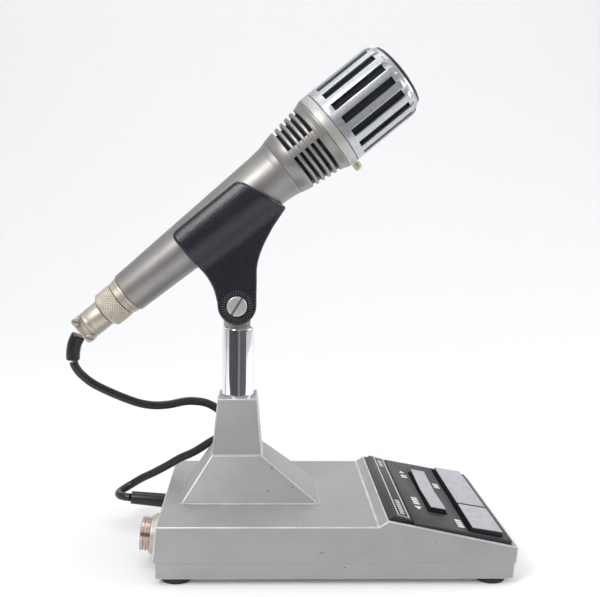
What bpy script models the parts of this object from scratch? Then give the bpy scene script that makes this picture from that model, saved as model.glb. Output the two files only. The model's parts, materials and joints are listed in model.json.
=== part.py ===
"""Desk microphone for an amateur radio station.

A sheet-metal style base with a sloping key panel carries a cast pedestal, a chrome post and a
plastic holder that tilts about a clamping screw. A dynamic microphone lies in the holder and is
joined to the base by a short lead with a screw-on plug.

Run in Blender: blender --background --python part.py
Lengths are in millimetres and are turned into metres by the helpers. +X points to the key panel,
+Z up. The origin is the middle of the footprint, on the surface that the feet stand on.
"""

import math

import bmesh
import bpy
from mathutils import Matrix, Vector

for old in list(bpy.data.objects):
    bpy.data.objects.remove(old, do_unlink=True)

MM = 0.001
GAP = 0.3                    # clearance between pieces that touch
CENTRE = 68.34               # middle of the footprint, forward of the base's rear top edge

# Base: distances forward of the rear top edge, and heights above the desk
BASE_FRONT = 164.7
BASE_HALF_WIDTH = 55.0
FLAT_TOP = 26.9              # height of the flat rear top
FLAT_END = 100.6             # where the flat top ends and the ramp starts
CREST = (105.0, 29.7)        # top of the ramp, where the sloping panel rim starts
RIM_FRONT_TOP = 17.4         # height of the rim at the front
SEAM = 10.2                  # parting line between the upper and lower shells
REAR_BULGE = 1.6             # how far the rear wall leans out at the seam
WALL = 2.2
FOOT_HEIGHT = 2.7
FOOT_RADIUS = 7.0
FOOT_Y = 47.6

# Pedestal and post
PEDESTAL = (8.6, 75.6, 22.8)         # rear end, front end, half width where it meets the flat top
SHOULDER = (23.1, 47.6, 15.0, 49.0)  # the same for the foot of the neck, then its height
NECK_TOP = (25.7, 45.1, 11.8, 76.3)
POST_RADIUS = 7.85
POST_TOP = 110.0
POST_LOW = 36.0
POST_X = 35.4                        # the post's axis, forward of the rear edge
CAVITY_TOP = 46.0                    # the neck is solid above this height, apart from the post's bore
PIVOT = (34.8, 121.5)                # tilt axis: forward distance and height
TONGUE_HALF = 6.6

# Microphone: distances from the tail along its axis
TILT = 39.6                          # the axis rises by this angle at rest
TAIL = (-18.75, 126.45)              # tail end of the tube: forward distance and height
TAIL_RADIUS = 10.4
BODY_TAPER = 0.0382                  # growth of the tube's radius with distance from the tail
BODY_END = 97.5
VENT_START = 104.0
VENT_PITCH = 3.32
VENT_WIDTH = 1.5
VENT_ROWS = 5
NAME_RING = (123.6, 128.3)
GRILLE = (128.6, 168.2)
SLOT_COUNT = 16
SLOT_ENDS = (132.8, 163.0)
HEAD_RADIUS = 20.0

# Key panel: a frame on the panel's top plane, whose X runs down the slope
PANEL_SLOPE = 10.6
PANEL_ORIGIN = (115.0, 28.6)
PANEL_HALF_WIDTH = 53.3
PANEL_THICK = 2.4
KEY_SPAN = (29.8, 43.9)              # rear and front edges of the two keys
KEY_TOP = 2.0
KEY_HINGE = (42.0, -5.5)             # down the slope, and above the panel's top plane
LOCK_ENDS = (-50.0, -14.6)
PTT_ENDS = (-13.6, 49.9)
ROCKER_SPAN = (13.6, 20.9)
ROCKER_ENDS = (-29.5, 34.1)

# Rear wall: side and height of the accessory socket and of the lead's strain relief
SOCKET = (-28.0, 13.9)
SOCKET_RADIUS = 7.9
SOCKET_END = 8.2
BOOT = (22.0, 14.3)
BOOT_RADIUS = 3.7
BOOT_NECK = 3.1              # where it passes through the wall
BOOT_END = 19.5
LEAD_RADIUS = 2.1
LEAD_POINTS = 78

# Route of the lead, from the plug's sleeve to the boot: forward, sideways and up
LEAD_ROUTE = (
    (-45.8, 0.0, 92.1), (-45.0, 0.3, 89.6), (-42.6, 1.4, 85.8), (-37.3, 3.2, 80.8), (-30.0, 5.0, 76.5),
    (-21.2, 7.0, 72.2), (-13.9, 9.0, 69.3), (-6.9, 11.0, 67.9), (0.3, 12.5, 68.1),
    (7.9, 14.0, 69.4), (13.8, 15.4, 69.2), (19.2, 16.6, 67.9), (24.4, 17.4, 64.9),
    (28.9, 18.2, 60.6), (30.4, 18.9, 55.4), (27.4, 19.6, 50.6), (21.2, 20.4, 46.9),
    (12.2, 22.8, 40.6), (4.5, 25.4, 36.4), (-2.6, 28.4, 31.5), (-9.6, 31.6, 26.9),
    (-16.4, 34.6, 22.9), (-22.0, 36.4, 19.1), (-26.3, 34.6, 16.8), (-28.3, 30.6, 16.0),
    (-27.3, 26.2, 16.0), (-24.4, 23.0, 16.2), (-21.2, 22.05, 16.15),
)

PARTS = bpy.data.collections.new("desk_microphone")
CUTTERS = bpy.data.collections.new("cutters")
bpy.context.scene.collection.children.link(PARTS)
bpy.context.scene.collection.children.link(CUTTERS)


# ---- Materials -------------------------------------------------------------------------------

FINISHES = {
    "grey_paint": ((0.34, 0.35, 0.36), 0.45, 0.6),
    "satin_silver": ((0.42, 0.42, 0.43), 0.35, 0.8),
    "grille_silver": ((0.6, 0.62, 0.63), 0.3, 0.9),
    "chrome": ((0.85, 0.85, 0.86), 0.06, 1.0),
    "nickel": ((0.62, 0.58, 0.5), 0.25, 1.0),
    "brass": ((0.6, 0.53, 0.33), 0.35, 1.0),
    "steel": ((0.6, 0.59, 0.57), 0.3, 1.0),
    "black_plastic": ((0.018, 0.018, 0.021), 0.42, 0.0),
    "panel_black": ((0.045, 0.045, 0.05), 0.5, 0.0),
    "key_silver": ((0.55, 0.56, 0.6), 0.4, 0.3),
    "rubber": ((0.02, 0.02, 0.02), 0.7, 0.0),
    "black_cloth": ((0.01, 0.01, 0.012), 0.9, 0.0),
    "board_green": ((0.03, 0.16, 0.07), 0.5, 0.0),
    "insulator": ((0.03, 0.03, 0.03), 0.5, 0.0),
}


def material(finish):
    """A Principled material, made once for each piece that asks for it."""
    colour, roughness, metallic = FINISHES[finish]
    made = bpy.data.materials.new(finish)
    made.use_nodes = True
    shader = made.node_tree.nodes["Principled BSDF"]
    shader.inputs["Base Color"].default_value = (*colour, 1.0)
    shader.inputs["Roughness"].default_value = roughness
    shader.inputs["Metallic"].default_value = metallic
    return made


# ---- Frames ----------------------------------------------------------------------------------

def frame(name, forward, side, height, turn=0.0, parent=None):
    """An empty at a place on the object, turned about Y by an angle in degrees."""
    empty = bpy.data.objects.new(name, None)
    PARTS.objects.link(empty)
    world = Matrix.Translation(Vector((forward - CENTRE, side, height)) * MM)
    world @= Matrix.Rotation(math.radians(turn), 4, "Y")
    empty.parent = parent
    if parent:
        world = parent.matrix_world.inverted() @ world
    empty.matrix_local = world
    bpy.context.view_layer.update()
    return empty


base = frame("base_rear", 0.0, 0.0, 0.0)
tilt_pivot = frame("tilt_pivot", PIVOT[0], 0.0, PIVOT[1])
mic = frame("mic_axis", TAIL[0], 0.0, TAIL[1], 90.0 - TILT, tilt_pivot)
panel = frame("panel_plane", PANEL_ORIGIN[0], 0.0, PANEL_ORIGIN[1], PANEL_SLOPE)
rear_lean = math.atan2(REAR_BULGE, FLAT_TOP - SEAM)


def rear_frame(name, side, height):
    """An empty on the leaning rear wall, with its Z out of the wall."""
    forward = -(FLAT_TOP - height) * math.tan(rear_lean)
    return frame(name, forward, side, height, math.degrees(rear_lean) - 90.0)


socket = rear_frame("socket_axis", *SOCKET)
boot = rear_frame("boot_axis", *BOOT)


# ---- Helpers ---------------------------------------------------------------------------------

def place(name, mesh, finish, parent, location=(0.0, 0.0, 0.0), turn=(0.0, 0.0, 0.0)):
    """Put a mesh or curve under a frame; with no finish it is a cutter."""
    obj = bpy.data.objects.new(name, mesh)
    if finish:
        mesh.materials.append(material(finish))
        PARTS.objects.link(obj)
    else:
        CUTTERS.objects.link(obj)
        obj.hide_render = True
        obj.display_type = "WIRE"
    obj.parent = parent
    obj.location = Vector(location) * MM
    obj.rotation_euler = [math.radians(a) for a in turn]
    return obj


def turned(name, loops, finish, parent, steps=32, closed=True, location=(0, 0, 0), turn=(0, 0, 0)):
    """Turn outlines of (radius, height) about local Z. Each runs down its outer side."""
    mesh = bpy.data.meshes.new(name)
    points = []
    edges = []
    for loop in loops:
        first = len(points)
        points += [(r * MM, 0.0, z * MM) for r, z in loop]
        edges += [(first + i, first + i + 1) for i in range(len(loop) - 1)]
        if closed:
            edges.append((len(points) - 1, first))
    mesh.from_pydata(points, edges, [])
    obj = place(name, mesh, finish, parent, location, turn)
    screw = obj.modifiers.new("turn", "SCREW")
    screw.axis = "Z"
    screw.steps = steps
    screw.render_steps = steps
    screw.use_merge_vertices = True
    screw.merge_threshold = 0.00001
    screw.use_smooth_shade = True
    return obj


def cylinder(name, radius, low, high, finish, parent, steps=24, location=(0, 0, 0), turn=(0, 0, 0)):
    """A plain cylinder along local Z."""
    outline = [(0.0, high), (radius, high), (radius, low), (0.0, low)]
    return turned(name, [outline], finish, parent, steps, False, location, turn)


def ring(name, outer, inner, low, high, finish, parent, steps=32, location=(0, 0, 0), turn=(0, 0, 0)):
    """A plain ring along local Z."""
    outline = [(outer, high), (outer, low), (inner, low), (inner, high)]
    return turned(name, [outline], finish, parent, steps, True, location, turn)


def blocks(name, boxes, finish, parent, location=(0, 0, 0), turn=(0, 0, 0)):
    """One mesh of boxes, each given by its low and high corner."""
    mesh = bpy.data.meshes.new(name)
    shape = bmesh.new()
    for low, high in boxes:
        size = [(b - a) * MM for a, b in zip(low, high)]
        middle = [(a + b) * 0.5 * MM for a, b in zip(low, high)]
        where = Matrix.Translation(middle) @ Matrix.Diagonal((*size, 1.0))
        bmesh.ops.create_cube(shape, size=1.0, matrix=where)
    shape.to_mesh(mesh)
    shape.free()
    return place(name, mesh, finish, parent, location, turn)


def frustum(name, sections, finish, parent):
    """A stack of rectangles (rear, front, half width, height), skinned into one solid."""
    mesh = bpy.data.meshes.new(name)
    shape = bmesh.new()
    rows = []
    for rear, front, half, height in sections:
        corners = [(rear, -half), (front, -half), (front, half), (rear, half)]
        rows.append([shape.verts.new((x * MM, y * MM, height * MM)) for x, y in corners])
    for lower, upper in zip(rows, rows[1:]):
        for i in range(4):
            j = (i + 1) % 4
            shape.faces.new((lower[i], lower[j], upper[j], upper[i]))
    shape.faces.new(rows[-1])
    shape.faces.new(list(reversed(rows[0])))
    shape.to_mesh(mesh)
    shape.free()
    return place(name, mesh, finish, parent)


def prism(name, outline, low, high, finish, parent, location=(0, 0, 0)):
    """An outline in the local XZ plane, extruded along Y from low to high."""
    curve = bpy.data.curves.new(name, "CURVE")
    curve.dimensions = "2D"
    curve.fill_mode = "BOTH"
    curve.extrude = 0.5 * (high - low) * MM
    spline = curve.splines.new("POLY")
    spline.points.add(len(outline) - 1)
    for point, (x, z) in zip(spline.points, outline):
        point.co = (x * MM, z * MM, 0.0, 1.0)
    spline.use_cyclic_u = True
    flat = bpy.data.objects.new(name + "_outline", curve)
    CUTTERS.objects.link(flat)
    bpy.context.view_layer.update()
    mesh = bpy.data.meshes.new_from_object(flat.evaluated_get(bpy.context.evaluated_depsgraph_get()))
    bpy.data.objects.remove(flat, do_unlink=True)
    shape = bmesh.new()
    shape.from_mesh(mesh)
    bmesh.ops.remove_doubles(shape, verts=shape.verts, dist=0.000001)
    upright = Matrix.Translation((0.0, 0.5 * (low + high) * MM, 0.0)) @ Matrix.Rotation(math.pi / 2, 4, "X")
    bmesh.ops.transform(shape, matrix=upright, verts=shape.verts)
    bmesh.ops.recalc_face_normals(shape, faces=shape.faces)
    shape.to_mesh(mesh)
    shape.free()
    mesh.name = name
    return place(name, mesh, finish, parent, location)


def tube(name, points, radius, finish, parent, resolution=2):
    """A round tube along points, with filled caps."""
    curve = bpy.data.curves.new(name, "CURVE")
    curve.dimensions = "3D"
    curve.bevel_depth = radius * MM
    curve.bevel_resolution = resolution
    curve.use_fill_caps = True
    spline = curve.splines.new("POLY")
    spline.points.add(len(points) - 1)
    for point, place_mm in zip(spline.points, points):
        point.co = (*(c * MM for c in place_mm), 1.0)
    return place(name, curve, finish, parent)


def boolean(obj, other, operation):
    """Cut, join or keep the common part, with the exact solver."""
    step = obj.modifiers.new(operation.lower(), "BOOLEAN")
    step.operation = operation
    step.solver = "EXACT"
    step.object = other
    return obj


def cut(obj, *others):
    for other in others:
        boolean(obj, other, "DIFFERENCE")
    return obj


def join(obj, *others):
    for other in others:
        boolean(obj, other, "UNION")
    return obj


def soften(obj, width):
    """Bevel the sharp edges of a solid."""
    bevel = obj.modifiers.new("edges", "BEVEL")
    bevel.width = width * MM
    bevel.segments = 1
    bevel.limit_method = "ANGLE"
    bevel.angle_limit = math.radians(50.0)
    return obj


def arc(centre, radius, start, end, steps):
    """Points along a circle, with angles in degrees."""
    points = []
    for i in range(steps + 1):
        angle = math.radians(start + (end - start) * i / steps)
        points.append((centre[0] + radius * math.cos(angle), centre[1] + radius * math.sin(angle)))
    return points


def smooth_route(points, count):
    """Evenly spaced points on a Catmull-Rom curve through a route."""
    route = [Vector(p) for p in points]
    route = [2 * route[0] - route[1]] + route + [2 * route[-1] - route[-2]]
    fine = []
    for a, b, c, d in zip(route, route[1:], route[2:], route[3:]):
        for i in range(16):
            t = i / 16
            fine.append(0.5 * (2 * b + (c - a) * t + (2 * a - 5 * b + 4 * c - d) * t ** 2
                               + (3 * b - a - 3 * c + d) * t ** 3))
    fine.append(route[-2])
    travelled = [0.0]
    for a, b in zip(fine, fine[1:]):
        travelled.append(travelled[-1] + (b - a).length)
    even = []
    k = 0
    for i in range(count):
        target = travelled[-1] * i / (count - 1)
        while k < len(fine) - 2 and travelled[k + 1] < target:
            k += 1
        share = (target - travelled[k]) / (travelled[k + 1] - travelled[k])
        even.append(fine[k].lerp(fine[k + 1], share))
    return even


def mic_outline(points):
    """Turn (distance from the tail, height off the axis) into the microphone frame's X and Z."""
    return [(-height, distance) for distance, height in points]


def body_radius(distance):
    """Outer radius of the microphone's tapered tube."""
    return TAIL_RADIUS + BODY_TAPER * distance


# ---- Base shells -----------------------------------------------------------------------------

RIM_SLOPE = (CREST[1] - RIM_FRONT_TOP) / (BASE_FRONT - CREST[0])
BOSSES = [(x, y) for x in (13.0, 119.0) for y in (-44.0, 44.0)]
BOSS_RADIUS = 4.0


def rim_height(forward):
    """Height of the sloping rim at a distance forward of the rear edge."""
    return CREST[1] - RIM_SLOPE * (forward - CREST[0])


def upper_shell():
    """Upper case with the pedestal and neck, open below."""
    outline = [(-REAR_BULGE, SEAM), (0.0, FLAT_TOP), (FLAT_END, FLAT_TOP), CREST,
               (BASE_FRONT, RIM_FRONT_TOP), (BASE_FRONT - 0.5, SEAM)]
    shell = prism("upper_shell", outline, -BASE_HALF_WIDTH, BASE_HALF_WIDTH, "grey_paint", base)
    foot = FLAT_TOP - 6.0
    sections = [(*PEDESTAL, foot), (*PEDESTAL, FLAT_TOP), SHOULDER, NECK_TOP]
    join(shell, frustum("pedestal_solid", sections, None, base))

    top_wall = 4.0
    inner_front = BASE_FRONT - 0.5 - WALL
    hollow = [(WALL - REAR_BULGE, SEAM - 5.0), (WALL, FLAT_TOP - WALL), (FLAT_END + 1.0, FLAT_TOP - WALL),
              (inner_front, rim_height(inner_front) - top_wall), (inner_front, SEAM - 5.0)]
    half = BASE_HALF_WIDTH - WALL
    cavity = prism("case_cavity", hollow, -half, half, None, base)
    rear, front, half = PEDESTAL
    inset = 3.0
    low = FLAT_TOP - WALL - 2.0
    inner_low = (rear + 2 * inset, front - 2 * inset, half - inset, low)
    inner_top = (SHOULDER[0] + inset, SHOULDER[1] - inset, SHOULDER[2] - inset, CAVITY_TOP)
    well = frustum("pedestal_cavity", [inner_low, inner_top], None, base)
    post_hole = cylinder("post_hole", POST_RADIUS + GAP, 40.0, 80.0, None, base, 40, (POST_X, 0, 0))
    cut(shell, cavity, well, post_hole)

    half = PANEL_HALF_WIDTH + GAP
    recess = blocks("panel_recess", [((-9.9, -half, -PANEL_THICK - GAP), (48.2, half, 8.0))], None, panel)
    window = blocks("panel_window", [((11.8, -52.3, -12.0), (46.8, 52.3, 2.0))], None, panel)
    cut(shell, recess, window)
    for i, (x, y) in enumerate(BOSSES):
        where = (x, y, 0)
        ceiling = FLAT_TOP - 1.0 if x < FLAT_END else FLAT_TOP - 3.5
        boss = cylinder(f"boss_{i}", BOSS_RADIUS, 5.2, ceiling, None, base, 16, where)
        hole = cylinder(f"boss_hole_{i}", 1.8, 4.0, 16.0, None, base, 12, where)
        join(shell, boss)
        cut(shell, hole)
    cut(shell, *rear_holes())
    return soften(shell, 0.35)


def rear_holes():
    """Holes through the rear wall for the accessory socket and the lead's boot."""
    return [cylinder("socket_hole", SOCKET_RADIUS + GAP, -8.0, 6.0, None, socket, 28),
            cylinder("boot_hole", BOOT_NECK + GAP, -8.0, 6.0, None, boot, 20)]


def lower_shell():
    """Bottom tray, set in a little at both ends."""
    top = SEAM - GAP
    outline = [(0.1, FOOT_HEIGHT), (-0.3, top), (163.3, top), (162.7, FOOT_HEIGHT)]
    tray = prism("lower_shell", outline, -BASE_HALF_WIDTH, BASE_HALF_WIDTH, "grey_paint", base)
    floor = FOOT_HEIGHT + 2.0
    inner = [(2.2, floor), (2.2, top + 4.0), (160.6, top + 4.0), (160.6, floor)]
    half = BASE_HALF_WIDTH - WALL
    cut(tray, prism("tray_cavity", inner, -half, half, None, base), *rear_holes())
    holes = []
    for i, (x, y) in enumerate(BOSSES):
        where = (x, y, 0)
        holes.append(cylinder(f"screw_hole_{i}", 1.9, 0.0, 8.0, None, base, 12, where))
        holes.append(cylinder(f"screw_recess_{i}", 3.3, 0.0, FOOT_HEIGHT + 1.0, None, base, 16, where))
    holes.append(blocks("slide_slot", [((57.0, -2.2, 0.0), (67.0, 2.2, 8.0))], None, base))
    cut(tray, *holes)
    return soften(tray, 0.3)


def base_hardware():
    """Rubber feet and the screws that hold the tray."""
    outline = [(0.0, FOOT_HEIGHT - GAP), (FOOT_RADIUS, FOOT_HEIGHT - GAP), (FOOT_RADIUS - 0.1, 0.7),
               (FOOT_RADIUS - 0.6, 0.0), (0.0, 0.0)]
    for x, end in ((9.0, "rear"), (153.5, "front")):
        for y, side in ((-FOOT_Y, "near"), (FOOT_Y, "far")):
            turned(f"foot_{end}_{side}", [outline], "rubber", base, 24, False, (x, y, 0))
    head_low = FOOT_HEIGHT - 0.1
    head_top = FOOT_HEIGHT + 0.8
    screw = [(0.0, 12.0), (1.5, 12.0), (1.5, head_top), (3.0, head_top), (3.0, head_low), (0.0, head_low)]
    for (x, y), name in zip(BOSSES, ("rear_near", "rear_far", "front_near", "front_far")):
        turned(f"case_screw_{name}", [screw], "steel", base, 12, False, (x, y, 0))


# ---- Key panel -------------------------------------------------------------------------------

def key_panel():
    """Black bezel with openings for the keys and lugs for the hinge rod, and the trim strip."""
    thick = PANEL_THICK
    half = PANEL_HALF_WIDTH
    plate = blocks("key_panel", [((1.9, -half, -thick), (47.9, half, 0.0))], "panel_black", panel)
    key_well = ((28.2, -50.6, -6.0), (44.4, 50.5, 2.0))
    rocker_well = ((12.4, -31.2, -6.0), (21.8, 35.8, 2.0))
    cut(plate, blocks("key_wells", [key_well, rocker_well], None, panel))
    x, z = KEY_HINGE
    lugs = []
    for i, y in enumerate((-51.2, 51.2)):
        lug = ((x - 2.2, y - 0.5, z - 2.2), (x + 2.2, y + 0.5, -1.0))
        lugs.append(blocks(f"rod_lug_{i}", [lug], None, panel))
    join(plate, *lugs)
    cut(plate, cylinder("rod_bore", 1.3, -60.0, 60.0, None, panel, 12, (x, 0, z), (90, 0, 0)))
    cylinder("key_rod", 1.0, -51.6, 51.6, "steel", panel, 12, (x, 0, z), (90, 0, 0))

    strip = [(-9.6, -thick), (-9.6, -1.1), (-7.3, 1.1), (0.9, 0.45), (1.4, 0.1), (1.4, -thick)]
    prism("trim_strip", strip, -51.5, 51.5, "panel_black", panel)


def key(name, ends):
    """A key cap on two hinge ears, with a stem over its switch."""
    low, high = ends
    rear, front = KEY_SPAN
    x, z = KEY_HINGE
    outline = [(rear, KEY_TOP - 0.1), (rear, -4.0), (x - 2.0, -4.0), (x - 2.0, z - 1.0), (x - 1.0, z - 2.0),
               (x + 1.0, z - 2.0), (x + 1.9, z - 1.0), (front, -3.0), (front, KEY_TOP + 0.2)]
    cap = prism(name, outline, low, high, "key_silver", panel)
    cut(cap, cylinder(name + "_bore", 1.3, -high - 1.0, -low + 1.0, None, panel, 12, (x, 0, z), (90, 0, 0)))
    return soften(cap, 0.4)


def rocker():
    """Up and down rocker with a shallow V along its top, on two short trunnions."""
    rear, front = ROCKER_SPAN
    low, high = ROCKER_ENDS
    middle = 0.5 * (low + high)
    outline = [(low, 2.2), (low, -2.8), (middle - 6.0, -4.2), (middle + 6.0, -4.2), (high, -2.8), (high, 2.2),
               (middle, 1.2)]
    # The outline lies in the panel's YZ plane, so the prism is turned a quarter about Z
    cap = prism("up_down_rocker", outline, -front, -rear, "key_silver", panel)
    cap.rotation_euler = (0.0, 0.0, math.pi / 2)
    return soften(cap, 0.3)


def coil(name, centre, low, high, radius, wire, turns):
    """A helical spring standing on the board."""
    steps = 10
    points = []
    for i in range(turns * steps + 1):
        angle = 2 * math.pi * i / steps
        height = low + wire + (high - low - 2 * wire) * i / (turns * steps)
        points.append((centre[0] + radius * math.cos(angle), centre[1] + radius * math.sin(angle), height))
    return tube(name, points, wire, "steel", panel, 0)


def panel_inside():
    """Switch board under the keys, with its tactile switches, and the two return springs."""
    board_top = -11.0
    boxes = [((11.0, -48.0, board_top - 1.6), (44.0, 48.0, board_top))]
    board = blocks("key_board", boxes, "board_green", panel)
    for i, (x, y) in enumerate(((36.0, 18.0), (36.0, -32.0), (17.2, 24.0), (17.2, -19.0))):
        body = ((x - 3.0, y - 3.0, board_top - 0.5), (x + 3.0, y + 3.0, -6.4))
        join(board, blocks(f"switch_{i}", [body], None, panel))
    coil("ptt_spring", (32.6, 2.0), board_top + GAP, -4.0 - GAP, 1.9, 0.25, 4)
    coil("lock_spring", (32.6, -22.0), board_top + GAP, -4.0 - GAP, 1.9, 0.25, 4)


def base_inside():
    """Amplifier board on the tray, and the slide switch under the base."""
    board = blocks("amplifier_board", [((22.0, -40.0, 8.0), (96.0, 36.0, 9.6))], "board_green", base)
    lumps = [((28.0, 10.0, 9.0), (40.0, 24.0, 19.0)), ((50.0, -30.0, 9.0), (60.0, -20.0, 17.0)),
             ((72.0, -10.0, 9.0), (88.0, 2.0, 13.0))]
    for i, lump in enumerate(lumps):
        join(board, blocks(f"component_{i}", [lump], None, base))
    cut(board, blocks("board_notch", [((50.0, -6.0, 0.0), (74.0, 6.0, 12.0))], None, base))

    case = blocks("slide_switch_case", [((52.0, -4.5, 5.0), (72.0, 4.5, 11.0))], "steel", base)
    cut(case, blocks("slide_track", [((57.3, -1.9, 0.0), (66.7, 1.9, 8.5))], None, base))
    blocks("slide_switch_knob", [((58.0, -1.5, 1.2), (62.0, 1.5, 8.0))], "black_plastic", base)


# ---- Rear of the base ------------------------------------------------------------------------

def rear_fittings():
    """Accessory socket with its nut, and the boot round the lead. Local Z points out of the wall."""
    radius = SOCKET_RADIUS
    flange = radius + 0.35
    barrel = [(radius, SOCKET_END), (radius, -5.0), (flange, -5.0), (flange, -6.4), (radius, -6.4),
              (radius, -8.0), (6.3, -8.0), (6.3, SOCKET_END - 0.5), (6.8, SOCKET_END)]
    turned("rear_socket", [barrel], "nickel", socket, 32)
    ring("rear_socket_nut", radius + 2.1, radius + GAP, 0.35, 2.8, "nickel", socket, 32)
    cylinder("rear_socket_insert", 6.0, -7.5, 2.6, "insulator", socket, 24)
    outline = [(0.0, BOOT_END), (BOOT_RADIUS - 0.4, BOOT_END), (BOOT_RADIUS, 1.0), (BOOT_RADIUS, 0.35),
               (BOOT_NECK, 0.35), (BOOT_NECK, -3.0), (0.0, -3.0)]
    turned("lead_boot", [outline], "rubber", boot, 20, False)


# ---- Post and joint --------------------------------------------------------------------------

def post():
    """Chrome tube through the neck, its nut, and the tongue block in its upper end."""
    x = PIVOT[0]
    centre = (POST_X, 0, 0)
    outer = POST_RADIUS
    outline = [(outer - 0.9, POST_TOP), (outer, POST_TOP - 0.9), (outer, POST_LOW), (outer - 1.2, POST_LOW),
               (outer - 1.2, POST_TOP)]
    turned("post_tube", [outline], "chrome", base, 40, True, centre)
    nut_ends = (CAVITY_TOP - 6.0, CAVITY_TOP - GAP)
    ring("post_nut", outer + 1.1, outer + GAP, *nut_ends, "steel", base, 24, centre)
    half = TONGUE_HALF
    seat = POST_TOP + GAP
    outline = [(x - 4.6, seat - 5.0), (x - 4.8, seat), (x - half, seat + 0.5)]
    outline += arc(PIVOT, half, 180.0, 0.0, 12)
    outline += [(x + half, seat + 0.5), (x + 5.2, seat), (x + 5.0, seat - 5.0)]
    block = prism("tongue_block", outline, -3.0, 3.0, "steel", base)
    join(block, cylinder("tongue_plug", outer - 1.5, seat - 12.0, seat - 2.0, None, base, 24, centre))
    bore = cylinder("tongue_bore", 2.8, -10.0, 10.0, None, base, 20, (x, 0, PIVOT[1]), (90, 0, 0))
    cut(block, bore)
    for side, name in ((-1, "near"), (1, "far")):
        ends = sorted((side * 3.3, side * 4.0))
        ring(f"washer_{name}", 6.0, 2.8, ends[0], ends[1], "steel", base, 24, (x, 0, PIVOT[1]), (-90, 0, 0))


def holder():
    """Plastic holder: an open channel round the tube, with two ears on the pivot."""
    rear, front = 35.3, 87.0
    skin = 2.3
    pivot = (38.1, -37.95)
    ear_outer, ear_inner = 8.6, 4.3
    channel = turned("holder", [[(0.0, front), (body_radius(front) + GAP + skin, front),
                                 (body_radius(rear) + GAP + skin, rear), (0.0, rear)]],
                     "black_plastic", mic, 40, False)
    ear = [(36.0, -4.0), (35.4, -12.0), (35.6, -17.2), (34.4, -24.0), (31.6, -30.6)]
    ear += arc(pivot, 9.5, 152.0, 333.0, 16)
    ear += [(52.9, -35.0), (57.0, -30.1), (61.6, -26.3), (67.3, -23.0), (75.8, -19.3), (86.6, -16.4),
            (84.0, -4.0)]
    for low, high in ((-ear_outer, -ear_inner), (ear_inner, ear_outer)):
        join(channel, prism(f"ear_{low}", mic_outline(ear), low, high, None, mic))
    bore_ends = (rear - 2.0, front + 2.0)
    bore = turned("holder_bore", [[(0.0, bore_ends[1]), (body_radius(bore_ends[1]) + GAP, bore_ends[1]),
                                   (body_radius(bore_ends[0]) + GAP, bore_ends[0]), (0.0, bore_ends[0])]],
                  None, mic, 40, False)
    mouth = [(20.0, 9.0), (110.0, 9.0), (110.0, 40.0), (20.0, 40.0)]
    slant = [(75.4, 12.0), (76.0, 9.0), (78.0, 7.2), (86.9, -15.6), (87.2, -40.0), (110.0, -40.0),
             (110.0, 12.0)]
    cut(channel, bore, prism("mouth", mic_outline(mouth), -30.0, 30.0, None, mic),
        prism("slant", mic_outline(slant), -30.0, 30.0, None, mic))
    where = (-pivot[1], 0, pivot[0])
    cut(channel, cylinder("holder_screw_hole", 2.8, -20.0, 20.0, None, mic, 20, where, (90, 0, 0)))

    screw = [(0.0, 11.4), (4.9, 11.4), (5.2, 11.1), (5.2, 8.9), (2.5, 8.9), (2.5, -14.0), (0.0, -14.0)]
    pin = turned("pivot_screw", [screw], "steel", mic, 24, False, where, (90, 0, 0))
    slot = blocks("screw_slot", [((-6.0, -0.7, 10.4), (6.0, 0.7, 13.0))], None, mic, where, (90, 42, 0))
    cut(pin, slot)
    ring("pivot_nut", 5.2, 3.3, -12.6, -8.9, "steel", mic, 6, where, (90, 0, 0))


# ---- Microphone ------------------------------------------------------------------------------

def shell_ring(name, outer, thickness, finish, steps):
    """A turned wall: an outer outline of (distance, radius) from tail to head, and its offset."""
    down = [(radius, distance) for distance, radius in reversed(outer)]
    up = [(radius - thickness, distance) for distance, radius in outer]
    return turned(name, [down + up], finish, mic, steps)


def vent_windows():
    """Cutters for the rows of slots round the vent housing, each broken by three bridges."""
    rows = []
    for i in range(VENT_ROWS):
        low = VENT_START + VENT_PITCH * i
        rows.append([(24.0, low + VENT_WIDTH), (24.0, low), (12.5, low), (12.5, low + VENT_WIDTH)])
    windows = turned("vent_windows", rows, None, mic, 36)
    bridges = bpy.data.meshes.new("vent_bridges")
    shape = bmesh.new()
    for i in range(3):
        angle = math.radians(-(90.0 + 8.0) + 120.0 * i)
        size = Matrix.Diagonal((0.02, 0.0048, 0.03, 1.0))
        where = Matrix.Rotation(angle, 4, "Z") @ Matrix.Translation((0.0175, 0.0, 0.112)) @ size
        bmesh.ops.create_cube(shape, size=1.0, matrix=where)
    shape.to_mesh(bridges)
    shape.free()
    return cut(windows, place("vent_bridges", bridges, None, mic))


def microphone_body():
    """Tapered tube, vent housing with its liner, and the name ring."""
    tube_outline = [(0.0, TAIL_RADIUS), (60.0, body_radius(60.0)), (88.0, body_radius(88.0)), (94.0, 14.3),
                    (BODY_END, 15.1)]
    shell_ring("mic_tube", tube_outline, 1.5, "satin_silver", 36)

    spigot = BODY_END - 4.5
    housing = [(15.2, BODY_END + GAP), (12.3, BODY_END + GAP), (12.3, spigot), (11.2, spigot),
               (11.2, BODY_END + 1.0), (13.6, 101.5), (16.4, 118.5), (16.6, 130.4), (18.1, 130.4),
               (18.1, 123.3), (19.7, 123.3), (18.6, 119.8), (16.3, 102.6)]
    vents = turned("vent_housing", [housing], "satin_silver", mic, 36)
    cut(vents, vent_windows())
    liner = [(101.6, 13.3), (118.6, 16.1)]
    shell_ring("vent_liner", liner, 0.8, "black_cloth", 32)
    low, high = NAME_RING
    ring("name_ring", HEAD_RADIUS, 18.4, low, high, "chrome", mic, 40)


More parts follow.
